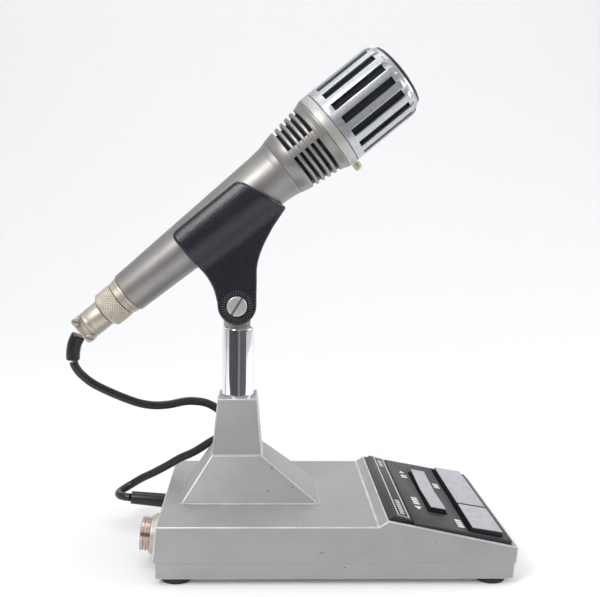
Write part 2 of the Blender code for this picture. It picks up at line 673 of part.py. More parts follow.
def head():
    """Slotted grille, its cloth, the dark front cap, the capsule and its rubber ring."""
    low, high = GRILLE
    outline = [(16.6, high), (17.9, 166.3), (19.4, 164.7), (19.9, 163.4), (HEAD_RADIUS, low), (18.4, low),
               (18.4, 162.2), (17.2, 164.4), (15.2, 166.6), (15.2, high)]
    grille = turned("head_grille", [outline], "grille_silver", mic, 48)
    slots = bpy.data.meshes.new("grille_slots")
    shape = bmesh.new()
    for i in range(SLOT_COUNT):
        angle = math.radians(-90.0 + 2.4 + 360.0 * i / SLOT_COUNT)
        size = Matrix.Diagonal((0.006, 0.0039, (SLOT_ENDS[1] - SLOT_ENDS[0]) * MM, 1.0))
        middle = (0.0195, 0.0, 0.5 * (SLOT_ENDS[0] + SLOT_ENDS[1]) * MM)
        where = Matrix.Rotation(angle, 4, "Z") @ Matrix.Translation(middle) @ size
        bmesh.ops.create_cube(shape, size=1.0, matrix=where)
    shape.to_mesh(slots)
    shape.free()
    cut(grille, place("grille_slots", slots, None, mic))

    cloth = [(131.0, 18.1), (161.6, 18.1), (164.0, 16.8)]
    shell_ring("grille_cloth", cloth, 0.8, "black_cloth", 32)
    cap = [(0.0, 171.6), (6.0, 171.3), (11.0, 170.7), (15.0, 169.7), (16.4, 169.0), (16.6, high + GAP),
           (0.0, high + GAP)]
    turned("front_cap", [cap], "black_plastic", mic, 32, False)
    capsule = [(0.0, 160.0), (12.0, 160.0), (13.6, 158.0), (13.6, 140.0), (9.0, 137.0), (9.0, 132.0),
               (0.0, 132.0)]
    turned("capsule", [capsule], "steel", mic, 28, False)
    ring("capsule_mount", 16.2, 13.9, 131.5, 143.0, "rubber", mic, 28)
    stud = [(0.0, 4.1), (1.6, 4.1), (2.1, 3.3), (2.1, 1.3), (1.8, GAP), (0.0, GAP)]
    turned("head_lock_stud", [stud], "brass", mic, 12, False, (HEAD_RADIUS, 0, 126.6), (0, 90, 0))
    cylinder("transformer", 7.6, 62.0, 80.0, "steel", mic, 20)


def tail():
    """Socket in the tail and the plug on the lead, down to the rubber sleeve."""
    inner = TAIL_RADIUS - 1.5 - GAP
    outline = [(inner, 10.0), (inner, -GAP), (9.7, -GAP), (9.7, -4.0), (7.0, -4.0), (7.0, 10.0)]
    turned("tail_socket", [outline], "nickel", mic, 32)
    cylinder("tail_socket_insert", 6.7, -2.0, 9.0, "insulator", mic, 24)

    ring_outline = [(9.2, -4.9), (9.2, -13.0), (7.5, -14.8), (6.2, -14.8), (6.2, -4.9)]
    turned("coupling_ring", [ring_outline], "nickel", mic, 32)
    shell = [(5.8, -5.6), (5.8, -15.1), (7.0, -15.3), (7.0, -25.0), (3.2, -25.0), (3.2, -16.0), (4.2, -5.6)]
    turned("plug_shell", [shell], "nickel", mic, 24)
    clamp = blocks("cable_clamp", [((-7.3, -4.4, -30.3), (7.3, 4.4, -25.3))], "nickel", mic)
    cut(clamp, cylinder("clamp_bore", 3.2, -34.0, -20.0, None, mic, 20))
    for side, name in ((-1, "upper"), (1, "lower")):
        where = (side * 5.2, 0, -28.0)
        cut(clamp, cylinder(f"clamp_hole_{name}", 1.15, -10.0, 10.0, None, mic, 10, where, (90, 0, 0)))
        screw = [(0.0, 6.2), (1.6, 6.2), (1.9, 5.9), (1.9, 4.7), (0.85, 4.7), (0.85, -3.6), (0.0, -3.6)]
        turned(f"clamp_screw_{name}", [screw], "nickel", mic, 12, False, where, (90, 0, 0))


def lead():
    """The lead itself, and the rubber sleeve that it leaves the plug through."""
    tube("lead", smooth_route(LEAD_ROUTE, LEAD_POINTS), LEAD_RADIUS, "rubber", base)
    elbow = [(-43.15, 0.0, 105.4), (-45.0, 0.0, 101.6), (-45.9, 0.0, 97.3), (-46.1, 0.0, 92.95)]
    tube("lead_sleeve", smooth_route(elbow, 12), 3.6, "rubber", base, 4)


upper_shell()
lower_shell()
base_hardware()
key_panel()
key("lock_key", LOCK_ENDS)
key("ptt_key", PTT_ENDS)
rocker()
panel_inside()
base_inside()
rear_fittings()
post()
holder()
microphone_body()
head()
tail()
lead()
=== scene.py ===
import json
import math
import bmesh
import bpy
from mathutils import Matrix, Vector


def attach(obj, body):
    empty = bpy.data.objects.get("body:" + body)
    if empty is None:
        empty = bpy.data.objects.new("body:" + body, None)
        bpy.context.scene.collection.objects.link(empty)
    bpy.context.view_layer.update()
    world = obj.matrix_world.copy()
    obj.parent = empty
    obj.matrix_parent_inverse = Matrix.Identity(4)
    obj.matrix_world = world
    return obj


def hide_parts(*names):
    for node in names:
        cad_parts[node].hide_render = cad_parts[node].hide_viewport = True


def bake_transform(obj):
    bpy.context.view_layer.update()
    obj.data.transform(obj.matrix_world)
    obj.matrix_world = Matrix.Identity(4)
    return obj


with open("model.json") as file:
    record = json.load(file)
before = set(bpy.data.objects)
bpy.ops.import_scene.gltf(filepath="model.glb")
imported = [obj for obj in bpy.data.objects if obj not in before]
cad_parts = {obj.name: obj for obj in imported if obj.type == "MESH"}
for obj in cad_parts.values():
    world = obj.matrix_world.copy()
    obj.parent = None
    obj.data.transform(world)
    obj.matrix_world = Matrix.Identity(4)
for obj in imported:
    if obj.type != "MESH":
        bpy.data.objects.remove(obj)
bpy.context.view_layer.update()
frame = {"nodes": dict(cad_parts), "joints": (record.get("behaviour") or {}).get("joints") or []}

# A desk microphone: its looks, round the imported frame. Lengths in mm unless a name says otherwise.

MM = 0.001
JOINTS = {joint["name"]: joint for joint in frame["joints"]}


# ---- Frames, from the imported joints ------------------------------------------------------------

def basis(x_axis, z_axis, place):
    """A frame at a place in metres, with its X and Z along two unit vectors."""
    made = Matrix((x_axis, z_axis.cross(x_axis), z_axis)).transposed().to_4x4()
    made.translation = place
    return made


PIVOT = Vector(JOINTS["mic_tilt"]["pos_m"])
PIVOT_FORWARD = 34.8
HOME = Matrix.Translation((PIVOT.x - PIVOT_FORWARD * MM, 0.0, 0.0))   # the base's rear top edge, on the desk

AXIS = Vector(JOINTS["coupling_turn"]["axis"]).normalized()
TAIL = Vector(JOINTS["coupling_turn"]["pos_m"]) + 10.0 * MM * AXIS
MIC = basis(Vector((AXIS.z, 0.0, -AXIS.x)), AXIS, TAIL)               # X down, Z from tail to head

SLOPE = Vector(JOINTS["rocker_tilt"]["axis"]).normalized()
PANEL = basis(SLOPE, Vector((-SLOPE.z, 0.0, SLOPE.x)), HOME @ Vector((0.115, 0.0, 0.0286)))

BULGE, SEAM, FLAT_TOP = 1.6, 10.2, 26.9
LEAN = math.atan2(BULGE, FLAT_TOP - SEAM)


def rear_frame(side, height):
    """A frame on the leaning rear wall, with its Z out of the wall."""
    out = Vector((-math.cos(LEAN), 0.0, math.sin(LEAN)))
    up = Vector((math.sin(LEAN), 0.0, math.cos(LEAN)))
    forward = -(FLAT_TOP - height) * math.tan(LEAN)
    return basis(up, out, HOME @ (Vector((forward, side, height)) * MM))


SOCKET = rear_frame(-28.0, 13.9)
BOOT = rear_frame(22.0, 14.3)


# ---- Camera and light --------------------------------------------------------------------------

def camera():
    """Level with the microphone, a little above the base, turned and rolled slightly."""
    yaw, pitch, roll = math.radians(2.4), math.radians(6.13), math.radians(0.8)
    ahead = Vector((math.sin(yaw), math.cos(yaw), 0.0))
    right = Vector((math.cos(yaw), -math.sin(yaw), 0.0))
    up = Vector((0.0, 0.0, 1.0))
    look = math.cos(pitch) * ahead - math.sin(pitch) * up
    above = math.sin(pitch) * ahead + math.cos(pitch) * up
    side = math.cos(roll) * right + math.sin(roll) * above
    made = bpy.data.objects.new("camera", bpy.data.cameras.new("camera"))
    made.data.lens = 58.33
    made.data.sensor_width = 36.0
    bpy.context.scene.collection.objects.link(made)
    made.matrix_world = basis(side, -look, HOME @ (Vector((45.7, -478.5, 176.0)) * MM))
    bpy.context.scene.camera = made


def lamp(name, place, aim, size, power):
    """A square area light at a place in metres, facing a point."""
    made = bpy.data.objects.new(name, bpy.data.lights.new(name, "AREA"))
    made.data.shape = "SQUARE"
    made.data.size = size
    made.data.energy = power
    bpy.context.scene.collection.objects.link(made)
    made.location = place
    made.rotation_euler = (Vector(aim) - Vector(place)).to_track_quat("-Z", "Y").to_euler()


def room():
    """Pale room: bright behind and above, dim at eye level round the camera."""
    world = bpy.data.worlds.new("room")
    bpy.context.scene.world = world
    world.use_nodes = True
    tree = world.node_tree
    split = tree.nodes.new("ShaderNodeSeparateXYZ")
    tree.links.new(tree.nodes.new("ShaderNodeTexCoord").outputs["Generated"], split.inputs[0])

    def ramp(source, start, end, low, high):
        node = tree.nodes.new("ShaderNodeMapRange")
        node.interpolation_type = "SMOOTHSTEP"
        for key, value in (("From Min", start), ("From Max", end), ("To Min", low), ("To Max", high)):
            node.inputs[key].default_value = value
        tree.links.new(source, node.inputs["Value"])
        return node.outputs["Result"]

    level = ramp(split.outputs["Z"], 0.05, 0.5, 0.2, 0.6)
    share = ramp(split.outputs["Y"], -0.4, 0.4, 0.0, 1.0)
    mix = tree.nodes.new("ShaderNodeMix")
    tree.links.new(share, mix.inputs["Factor"])
    tree.links.new(level, mix.inputs["A"])
    mix.inputs["B"].default_value = 0.76
    sky = tree.nodes["Background"]
    sky.inputs["Color"].default_value = (0.98, 0.985, 1.0, 1.0)
    tree.links.new(mix.outputs["Result"], sky.inputs["Strength"])


def stage_piece(name, rows, colour, glow=0.0):
    """A smooth matt sheet through rows of points, for the floor and the dark cards."""
    shape = bmesh.new()
    grid = [[shape.verts.new(p) for p in row] for row in rows]
    for low, high in zip(grid, grid[1:]):
        shape.faces.new((low[0], low[1], high[1], high[0]))
    mesh = bpy.data.meshes.new(name)
    shape.to_mesh(mesh)
    shape.free()
    mesh.shade_smooth()
    paper = bpy.data.materials.new(name + "_paper")
    paper.use_nodes = True
    for key, value in (("Base Color", (*colour, 1.0)), ("Roughness", 0.95), ("Emission Strength", glow)):
        paper.node_tree.nodes["Principled BSDF"].inputs[key].default_value = value
    mesh.materials.append(paper)
    made = bpy.data.objects.new(name, mesh)
    bpy.context.scene.collection.objects.link(made)
    return made


CARD_TOP = 0.13
CARDS = (
    # name, left, right, place along Y and tone, with lengths in metres
    ("card_left", -0.75, -0.035, -0.3, 0.07),
    ("card_right", 0.045, 0.5, -0.3, 0.10),
    ("card_middle", -0.1, 0.1, -0.32, 0.22),
)


def studio():
    """Floor that sweeps up behind, soft lights, and low dark cards in front, seen only in reflections."""
    bpy.context.scene.view_settings.view_transform = "Standard"
    room()
    bend, far = 0.6, 0.55
    profile = [(-3.0, 0.0), (far, 0.0)]
    for k in range(1, 17):
        turn = math.pi / 32 * k
        profile.append((far + bend * math.sin(turn), bend - bend * math.cos(turn)))
    profile.append((far + bend, 3.0))
    stage_piece("floor", [[(x, y, z) for x in (-3.0, 3.0)] for y, z in profile], (0.86, 0.86, 0.87), 0.09)
    for name, left, right, y, tone in CARDS:
        rows = [[(x, y, z) for x in (left, right)] for z in (0.0, CARD_TOP)]
        card = stage_piece(name, rows, (tone, 0.93 * tone, tone))
        card.visible_camera = False
        card.visible_diffuse = False
        card.visible_shadow = False

    lamp("overhead", (-0.15, 0.1, 1.3), (0.0, 0.0, 0.05), 1.2, 5.0)
    lamp("left", (-0.58, -0.80, 0.78), (0.0, 0.0, 0.12), 0.4, 6.2)
    lamp("right", (1.1, 0.05, 0.5), (0.0, 0.0, 0.08), 0.5, 4.5)


camera()
studio()


# ---- Materials ---------------------------------------------------------------------------------

MADE = {}


def finish(name, colour, roughness, grain, blotch, metallic=0.0, stretch=(1.0, 1.0, 1.0), spread=0.08,
           chips=None, weave=0.0):
    """A Principled material. Grain is a bump's size and height, blotch the size and share of a slow change of
    tone, chips the size, threshold and colour of bare patches, and weave the pitch of ribs along Z."""
    made = bpy.data.materials.new(name)
    made.use_nodes = True
    tree = made.node_tree
    shader = tree.nodes["Principled BSDF"]

    def add(kind, links=(), **values):
        node = tree.nodes.new(kind)
        for key, value in values.items():
            node.inputs[key.replace("_", " ")].default_value = value
        for key, source in links:
            tree.links.new(source, node.inputs[key])
        return node.outputs

    spot = add("ShaderNodeTexCoord")["Object"]
    mm = add("ShaderNodeMapping", [("Vector", spot)], Scale=[s / MM for s in stretch])["Vector"]
    plain = add("ShaderNodeMapping", [("Vector", spot)], Scale=(1.0 / MM,) * 3)["Vector"]
    fine = add("ShaderNodeTexNoise", [("Vector", mm)], Scale=1.0 / grain[0], Detail=3.0)["Fac"]
    slow = add("ShaderNodeTexNoise", [("Vector", plain)], Scale=1.0 / blotch[0], Detail=4.0)["Fac"]

    tone = add("ShaderNodeMapRange", [("Value", slow)], From_Min=0.3, From_Max=0.7,
               To_Min=1.0 - blotch[1], To_Max=1.0 + blotch[1])["Result"]
    speck = add("ShaderNodeMapRange", [("Value", fine)], From_Min=0.3, From_Max=0.7,
                To_Min=1.0 - 0.6 * blotch[1], To_Max=1.0 + 0.6 * blotch[1])["Result"]
    both = tree.nodes.new("ShaderNodeMath")
    both.operation = "MULTIPLY"
    tree.links.new(tone, both.inputs[0])
    tree.links.new(speck, both.inputs[1])
    shade = tree.nodes.new("ShaderNodeVectorMath")
    shade.operation = "SCALE"
    shade.inputs[0].default_value = colour
    tree.links.new(both.outputs[0], shade.inputs["Scale"])
    result = shade.outputs[0]
    if chips:
        size, start, dark = chips
        marks = add("ShaderNodeTexNoise", [("Vector", plain)],
                    Scale=1.0 / size, Detail=5.0, Roughness=0.65)["Fac"]
        share = add("ShaderNodeMapRange", [("Value", marks)], From_Min=start, From_Max=start + 0.02)["Result"]
        mix = tree.nodes.new("ShaderNodeMix")
        mix.data_type = "RGBA"
        tree.links.new(share, mix.inputs["Factor"])
        tree.links.new(result, mix.inputs[6])
        mix.inputs[7].default_value = (*dark, 1.0)
        result = mix.outputs[2]
    tree.links.new(result, shader.inputs["Base Color"])

    gloss = add("ShaderNodeMapRange", [("Value", fine)], From_Min=0.3, From_Max=0.7,
                To_Min=max(0.02, roughness - spread), To_Max=roughness + spread)["Result"]
    tree.links.new(gloss, shader.inputs["Roughness"])
    shader.inputs["Metallic"].default_value = metallic
    height = fine
    if weave:
        wave = tree.nodes.new("ShaderNodeTexWave")
        wave.bands_direction = "Z"
        wave.inputs["Scale"].default_value = math.pi / 10.0 / weave * 2.0
        tree.links.new(plain, wave.inputs["Vector"])
        height = wave.outputs["Fac"]
    bump = add("ShaderNodeBump", [("Height", height)], Strength=1.0, Distance=grain[1] * MM)["Normal"]
    tree.links.new(bump, shader.inputs["Normal"])
    return made


def look(name):
    """A named finish, made once."""
    if name not in MADE:
        MADE[name] = finish(name, **LOOKS[name])
    return MADE[name]


LOOKS = {
    "base_paint": dict(colour=(0.36, 0.363, 0.36), roughness=0.45, metallic=0.25, grain=(0.5, 0.012),
                       blotch=(16.0, 0.05), chips=(3.2, 0.685, (0.13, 0.13, 0.12))),
    # Lighter bare metal on the rounded edges: wear, and also a painted highlight along them.
    "edge_wear_and_highlight": dict(colour=(0.60, 0.62, 0.63), roughness=0.34, metallic=0.5, grain=(0.5, 0.01),
                      blotch=(9.0, 0.2)),
    "panel_black": dict(colour=(0.024, 0.024, 0.028), roughness=0.5, grain=(0.16, 0.01), blotch=(9.0, 0.12)),
    "key_silver": dict(colour=(0.50, 0.51, 0.54), roughness=0.42, metallic=0.5, grain=(0.45, 0.02),
                       blotch=(4.0, 0.10)),
    "mic_silver": dict(colour=(0.355, 0.343, 0.33), roughness=0.46, metallic=0.95, grain=(0.16, 0.006),
                       blotch=(9.0, 0.05)),
    "grille_silver": dict(colour=(0.52, 0.54, 0.56), roughness=0.35, metallic=0.95, grain=(0.3, 0.02),
                          blotch=(1.2, 0.09), stretch=(0.2, 0.2, 1.4)),
    "ring_cream": dict(colour=(0.50, 0.495, 0.47), roughness=0.46, metallic=0.7, grain=(0.3, 0.001),
                       blotch=(4.0, 0.05)),
    "chrome": dict(colour=(0.86, 0.87, 0.89), roughness=0.05, metallic=1.0, grain=(0.8, 0.0006),
                   blotch=(9.0, 0.02), spread=0.02),
    "nickel": dict(colour=(0.59, 0.54, 0.47), roughness=0.46, metallic=0.9, grain=(0.25, 0.006),
                   blotch=(3.0, 0.08)),
    "pink_brass": dict(colour=(0.60, 0.50, 0.44), roughness=0.24, metallic=1.0, grain=(0.25, 0.004),
                       blotch=(3.0, 0.12)),
    # Darker steel for the floors of driver slots: painted shade.
    "slot_painted_shade": dict(colour=(0.27, 0.25, 0.23), roughness=0.5, metallic=0.6, grain=(0.3, 0.01),
                      blotch=(2.0, 0.1)),
    "old_brass": dict(colour=(0.62, 0.58, 0.38), roughness=0.36, metallic=0.7, grain=(0.3, 0.01),
                      blotch=(2.0, 0.12)),
    "steel": dict(colour=(0.80, 0.78, 0.75), roughness=0.42, metallic=1.0, grain=(0.2, 0.006),
                  blotch=(3.0, 0.06)),
    "clip_black": dict(colour=(0.014, 0.014, 0.021), roughness=0.26, grain=(0.7, 0.11), blotch=(9.0, 0.1),
                       spread=0.05),
    # Painted highlight on the top face of each tooth round the pivot screw.
    "clip_tooth_highlight": dict(colour=(0.11, 0.11, 0.125), roughness=0.35, grain=(0.3, 0.02), blotch=(2.0, 0.2)),
    "black_plastic": dict(colour=(0.016, 0.016, 0.017), roughness=0.45, grain=(0.3, 0.01), blotch=(6.0, 0.1)),
    "grille_cloth": dict(colour=(0.012, 0.012, 0.015), roughness=0.8, grain=(0.3, 0.12), blotch=(3.0, 0.2),
                         weave=0.8),
    "foot_rubber": dict(colour=(0.018, 0.018, 0.018), roughness=0.7, grain=(0.3, 0.02), blotch=(4.0, 0.1)),
    "lead_rubber": dict(colour=(0.013, 0.013, 0.015), roughness=0.3, grain=(0.4, 0.012), blotch=(8.0, 0.12)),
    "board": dict(colour=(0.03, 0.16, 0.07), roughness=0.4, grain=(0.5, 0.01), blotch=(3.0, 0.1)),
    "mark_white": dict(colour=(0.82, 0.82, 0.80), roughness=0.5, grain=(0.2, 0.004), blotch=(2.0, 0.05)),
}


# ---- Shapes ------------------------------------------------------------------------------------

def solid(name, shape, at):
    """A mesh object in a frame, from a bmesh in mm."""
    bmesh.ops.recalc_face_normals(shape, faces=shape.faces)
    bmesh.ops.scale(shape, vec=(MM, MM, MM), verts=shape.verts)
    mesh = bpy.data.meshes.new(name)
    shape.to_mesh(mesh)
    shape.free()
    made = bpy.data.objects.new(name, mesh)
    bpy.context.scene.collection.objects.link(made)
    made.matrix_world = at
    return made


def rounded(points, steps=4, closed=True):
    """An outline with its corners rounded, where a point gives a radius after its two coordinates."""
    outline = []
    for i, (a, b, *radius) in enumerate(points):
        corner = Vector((a, b))
        ends = not closed and i in (0, len(points) - 1)
        if not radius or ends:
            outline.append(corner)
            continue
        back = Vector(points[i - 1][:2]) - corner
        on = Vector(points[(i + 1) % len(points)][:2]) - corner
        half = 0.5 * back.angle(on)
        reach = min(radius[0] / math.tan(half), 0.48 * back.length, 0.48 * on.length)
        centre = corner + (back.normalized() + on.normalized()).normalized() * reach / math.cos(half)
        first = corner + back.normalized() * reach - centre
        last = corner + on.normalized() * reach - centre
        turn = math.atan2(first.x * last.y - first.y * last.x, first.dot(last))
        outline += [centre + Matrix.Rotation(turn * k / steps, 2) @ first for k in range(steps + 1)]
    return outline


def lathe(name, outline, at=MIC, steps=96, closed=True):
    """An outline of (radius, height) turned about local Z; an open one starts and ends on the axis."""
    shape = bmesh.new()
    rows = []
    for radius, height in outline:
        spokes = steps if radius > 0.0001 else 1
        turns = [2.0 * math.pi * k / steps for k in range(spokes)]
        rows.append([shape.verts.new((radius * math.cos(a), radius * math.sin(a), height)) for a in turns])
    for low, high in zip(rows, rows[1:] + (rows[:1] if closed else [])):
        for k in range(steps):
            corners = [row[i % len(row)] for row, i in ((low, k), (low, (k + 1) % steps),
                                                       (high, (k + 1) % steps), (high, k))]
            corners = list(dict.fromkeys(corners))
            if len(corners) > 2:
                shape.faces.new(corners)
    return solid(name, shape, at)


def prism(name, outline, low, high, at=HOME, flat=False):
    """An outline of (x, z) drawn through along Y, or a flat one of (x, y) along Z."""
    shape = bmesh.new()
    ends = []
    for depth in (low, high):
        ends.append([shape.verts.new((a, b, depth) if flat else (a, depth, b)) for a, b in outline])
    for end in ends:
        shape.faces.new(end)
    for i in range(len(outline)):
        shape.faces.new((ends[0][i - 1], ends[0][i], ends[1][i], ends[1][i - 1]))
    return solid(name, shape, at)


def block(name, low, high, at=HOME):
    """A box between two corners, used as a cutter or bevelled afterwards."""
    (x0, y0, z0), (x1, y1, z1) = low, high
    return prism(name, [(x0, y0), (x1, y0), (x1, y1), (x0, y1)], z0, z1, at, True)


def rod(name, radius, low, high, at, steps=32):
    """A plain round cutter along local Z."""
    return lathe(name, [(0.0, high), (radius, high), (radius, low), (0.0, low)], at, steps, False)


def loft(name, loops, at=HOME):
    """Closed loops of points, skinned one to the next and capped."""
    shape = bmesh.new()
    rows = [[shape.verts.new(p) for p in loop] for loop in loops]
    for low, high in zip(rows, rows[1:]):
        for i in range(len(low)):
            shape.faces.new((low[i - 1], low[i], high[i], high[i - 1]))
    shape.faces.new(rows[0])
    shape.faces.new(rows[-1])
    return solid(name, shape, at)


def pierced(name, rows, turns, opening, at=MIC):
    """A turned wall with openings. A row is (radius, radius in a flute, height, inner radius, its height),
    a turn is (angle, share of the flute), and opening(i, k) says if the cell past row i, turn k is open."""
    shape = bmesh.new()
    outer = []
    inner = []
    for radius, flute, height, inside, inside_height in rows:
        lines = []
        for angle, share in turns:
            r = radius + (flute - radius) * share
            lines.append((r * math.cos(angle), r * math.sin(angle), height))
        outer.append([shape.verts.new(p) for p in lines])
        lines = [(inside * math.cos(angle), inside * math.sin(angle), inside_height) for angle, _ in turns]
        inner.append([shape.verts.new(p) for p in lines])
    last = len(rows) - 1
    count = len(turns)

    def is_open(i, k):
        return not 0 <= i < last or opening(i, k % count)

    for i in range(last + 1):
        for k in range(count):
            n = (k + 1) % count
            if not is_open(i, k):
                for skin in (outer, inner):
                    shape.faces.new((skin[i][k], skin[i][n], skin[i + 1][n], skin[i + 1][k]))
            if is_open(i, k) != is_open(i - 1, k):
                shape.faces.new((outer[i][k], outer[i][n], inner[i][n], inner[i][k]))
            if i < last and is_open(i, k) != is_open(i, k - 1):
                shape.faces.new((outer[i][k], outer[i + 1][k], inner[i + 1][k], inner[i][k]))
    loose = [v for v in shape.verts if not v.link_faces]
    bmesh.ops.delete(shape, geom=loose, context="VERTS")
    return solid(name, shape, at)


def settle(obj):
    """Apply an object's modifiers to its mesh."""
    bpy.context.view_layer.update()
    mesh = bpy.data.meshes.new_from_object(obj.evaluated_get(bpy.context.evaluated_depsgraph_get()))
    obj.modifiers.clear()
    obj.data = mesh


def combine(obj, operation, others):
    """Cut others from an object, or join them to it, and remove them."""
    for other in others:
        step = obj.modifiers.new(operation, "BOOLEAN")
        step.operation = operation
        step.solver = "EXACT"
        step.object = other
    settle(obj)
    for other in others:
        bpy.data.objects.remove(other, do_unlink=True)


def cut(obj, *others):
    combine(obj, "DIFFERENCE", others)


def join(obj, *others):
    combine(obj, "UNION", others)


def paint(obj, *names):
    """Give an object its finishes; the second one is for edges painted lighter as wear and a painted
    highlight, for painted shade on slot floors, or for a painted highlight on tooth faces.
    """
    if obj.data.materials:
        obj.data.materials.clear()
    for name in names:
        obj.data.materials.append(look(name))
    return obj


def soften(obj, width, segments=2, angle=30.0):
    """Round the sharp edges of an object."""
    step = obj.modifiers.new("edges", "BEVEL")
    step.width = width * MM
    step.segments = segments
    step.limit_method = "ANGLE"
    step.angle_limit = math.radians(angle)
    step.use_clamp_overlap = True
    settle(obj)


def fit(obj, body, *nodes, sharp=32.0, slot=None):
    """Shade a piece, ride it on a body, and let it stand for CAD nodes."""
    obj.data.shade_smooth()
    obj.data.set_sharp_from_angle(angle=math.radians(sharp))
    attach(obj, body)
    if nodes:
        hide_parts(*nodes)


def paint_slot_shade(obj, low, high):
    """Paint the floor of a driver slot, found by its height along local Z, with the second finish, a darker
    steel that is painted shade in the slot.
    """
    for face in obj.data.polygons:
        if low * MM < face.center.z < high * MM:
            face.material_index = 1


def dress(node, name):
    """Give a CAD node that is shown as it is its finish."""
    paint(frame["nodes"][node], name)


# ---- Base --------------------------------------------------------------------------------------

BASE_FRONT, HALF_WIDTH = 164.7, 55.0
FLAT_END, CREST = 100.6, (105.0, 29.7)
RIM_FRONT = 17.4
INNER_HALF = 52.8
TRAY_LOW = 2.7
SOCKET_HOLE, BOOT_HOLE = 8.2, 3.4
PANEL_HALF = 53.3
PANEL_THICK = 2.4
POST = HOME @ Matrix.Translation((0.0354, 0.0, 0.0))
BOSSES = [(x, y) for x in (13.0, 119.0) for y in (-44.0, 44.0)]


def oblong(rear, front, half, height):
    """A rectangle at a height, as (x, y, z) points."""
    return [(rear, -half, height), (front, -half, height), (front, half, height), (rear, half, height)]


def round_wear_and_highlight(obj, width, chosen):
    """Round the sharp edges whose middles lie at a chosen height, and paint them lighter, as bare metal
    showing wear and as a painted highlight.
    """
    paint(obj, "base_paint", "edge_wear_and_highlight")
    shape = bmesh.new()
    shape.from_mesh(obj.data)
    edges = [e for e in shape.edges if e.calc_face_angle(0.0) > 0.1
             and chosen((e.verts[0].co.z + e.verts[1].co.z) * 0.5 / MM)]
    bmesh.ops.bevel(shape, geom=edges, offset=width * MM, segments=4, profile=0.5, affect="EDGES", material=1)
    shape.to_mesh(obj.data)
    shape.free()
    return obj


def wall_holes():
    """Cutters for the connector's and the lead's holes in the rear wall."""
    return [rod("socket_hole", SOCKET_HOLE, -8.0, 6.0, SOCKET), rod("boot_hole", BOOT_HOLE, -8.0, 6.0, BOOT)]


def case_top():
    """Upper shell with the pedestal and neck. Its outer edges are rounded and painted lighter, as wear and a
    painted highlight, before it is hollowed.
    """
    outline = [(-BULGE, SEAM), (0.0, FLAT_TOP), (FLAT_END, FLAT_TOP), CREST, (BASE_FRONT, RIM_FRONT),
               (BASE_FRONT - 0.5, SEAM)]
    shell = round_wear_and_highlight(prism("case_top", outline, -HALF_WIDTH, HALF_WIDTH), 0.6, lambda z: z > SEAM + 0.5)
    pedestal = loft("pedestal", [oblong(8.6, 75.6, 22.8, FLAT_TOP - 4.0), oblong(8.6, 75.6, 22.8, FLAT_TOP),
                                 oblong(23.1, 47.6, 15.0, 49.0), oblong(25.7, 45.1, 11.8, 76.3)])
    bead = loft("bead", [oblong(8.1, 76.2, 23.3, FLAT_TOP - 1.0), oblong(8.1, 76.2, 23.3, FLAT_TOP + 0.5),
                         oblong(9.1, 74.7, 22.6, FLAT_TOP + 0.9)])
    join(shell, round_wear_and_highlight(pedestal, 0.55, lambda z: z > FLAT_TOP + 1.0),
         round_wear_and_highlight(bead, 0.3, lambda z: FLAT_TOP < z < FLAT_TOP + 0.7))
    hollow = [(2.2 - BULGE, SEAM - 5.0), (2.2, FLAT_TOP - 2.2), (FLAT_END + 1.0, FLAT_TOP - 2.2),
              (162.0, 13.9), (162.0, SEAM - 5.0)]
    well = loft("well", [oblong(14.6, 69.6, 19.8, 22.7), oblong(26.1, 44.6, 12.0, 46.0)])
    cut(shell, prism("hollow", hollow, -INNER_HALF, INNER_HALF), well,
        rod("bore", 8.15, 40.0, 80.0, POST, 64))
    recess = block("recess", (-9.9, -53.6, -2.7), (48.2, 53.6, 8.0), PANEL)
    window = block("window", (11.8, -52.3, -12.0), (46.8, 52.3, 2.0), PANEL)
    cut(shell, recess, window, *wall_holes())
    fit(shell, "base", "upper_shell", slot="base_paint")


def case_tray():
    """Bottom tray, set in a little at both ends."""
    top = SEAM - 0.06
    outline = [(0.1, TRAY_LOW), (-0.3, top), (163.3, top), (162.7, TRAY_LOW)]
    tray = prism("case_tray", outline, -HALF_WIDTH, HALF_WIDTH)
    # The tray's lower edges get the same lighter paint: wear and a painted highlight.
    round_wear_and_highlight(tray, 0.3, lambda z: z < SEAM - 1.0)
    inner = [(2.2, 4.7), (2.2, top + 4.0), (160.6, top + 4.0), (160.6, 4.7)]
    cutters = [prism("tray_hollow", inner, -INNER_HALF, INNER_HALF),
               block("slide_slot", (57.0, -2.2, 0.0), (67.0, 2.2, 8.0)), *wall_holes()]
    for x, y in BOSSES:
        at = HOME @ Matrix.Translation((x * MM, y * MM, 0.0))
        cutters += [rod("screw_hole", 1.9, 0.0, 8.0, at, 20), rod("screw_recess", 3.3, 0.0, 3.7, at, 32)]
    cut(tray, *cutters)
    fit(tray, "base", "lower_shell", slot="base_paint")


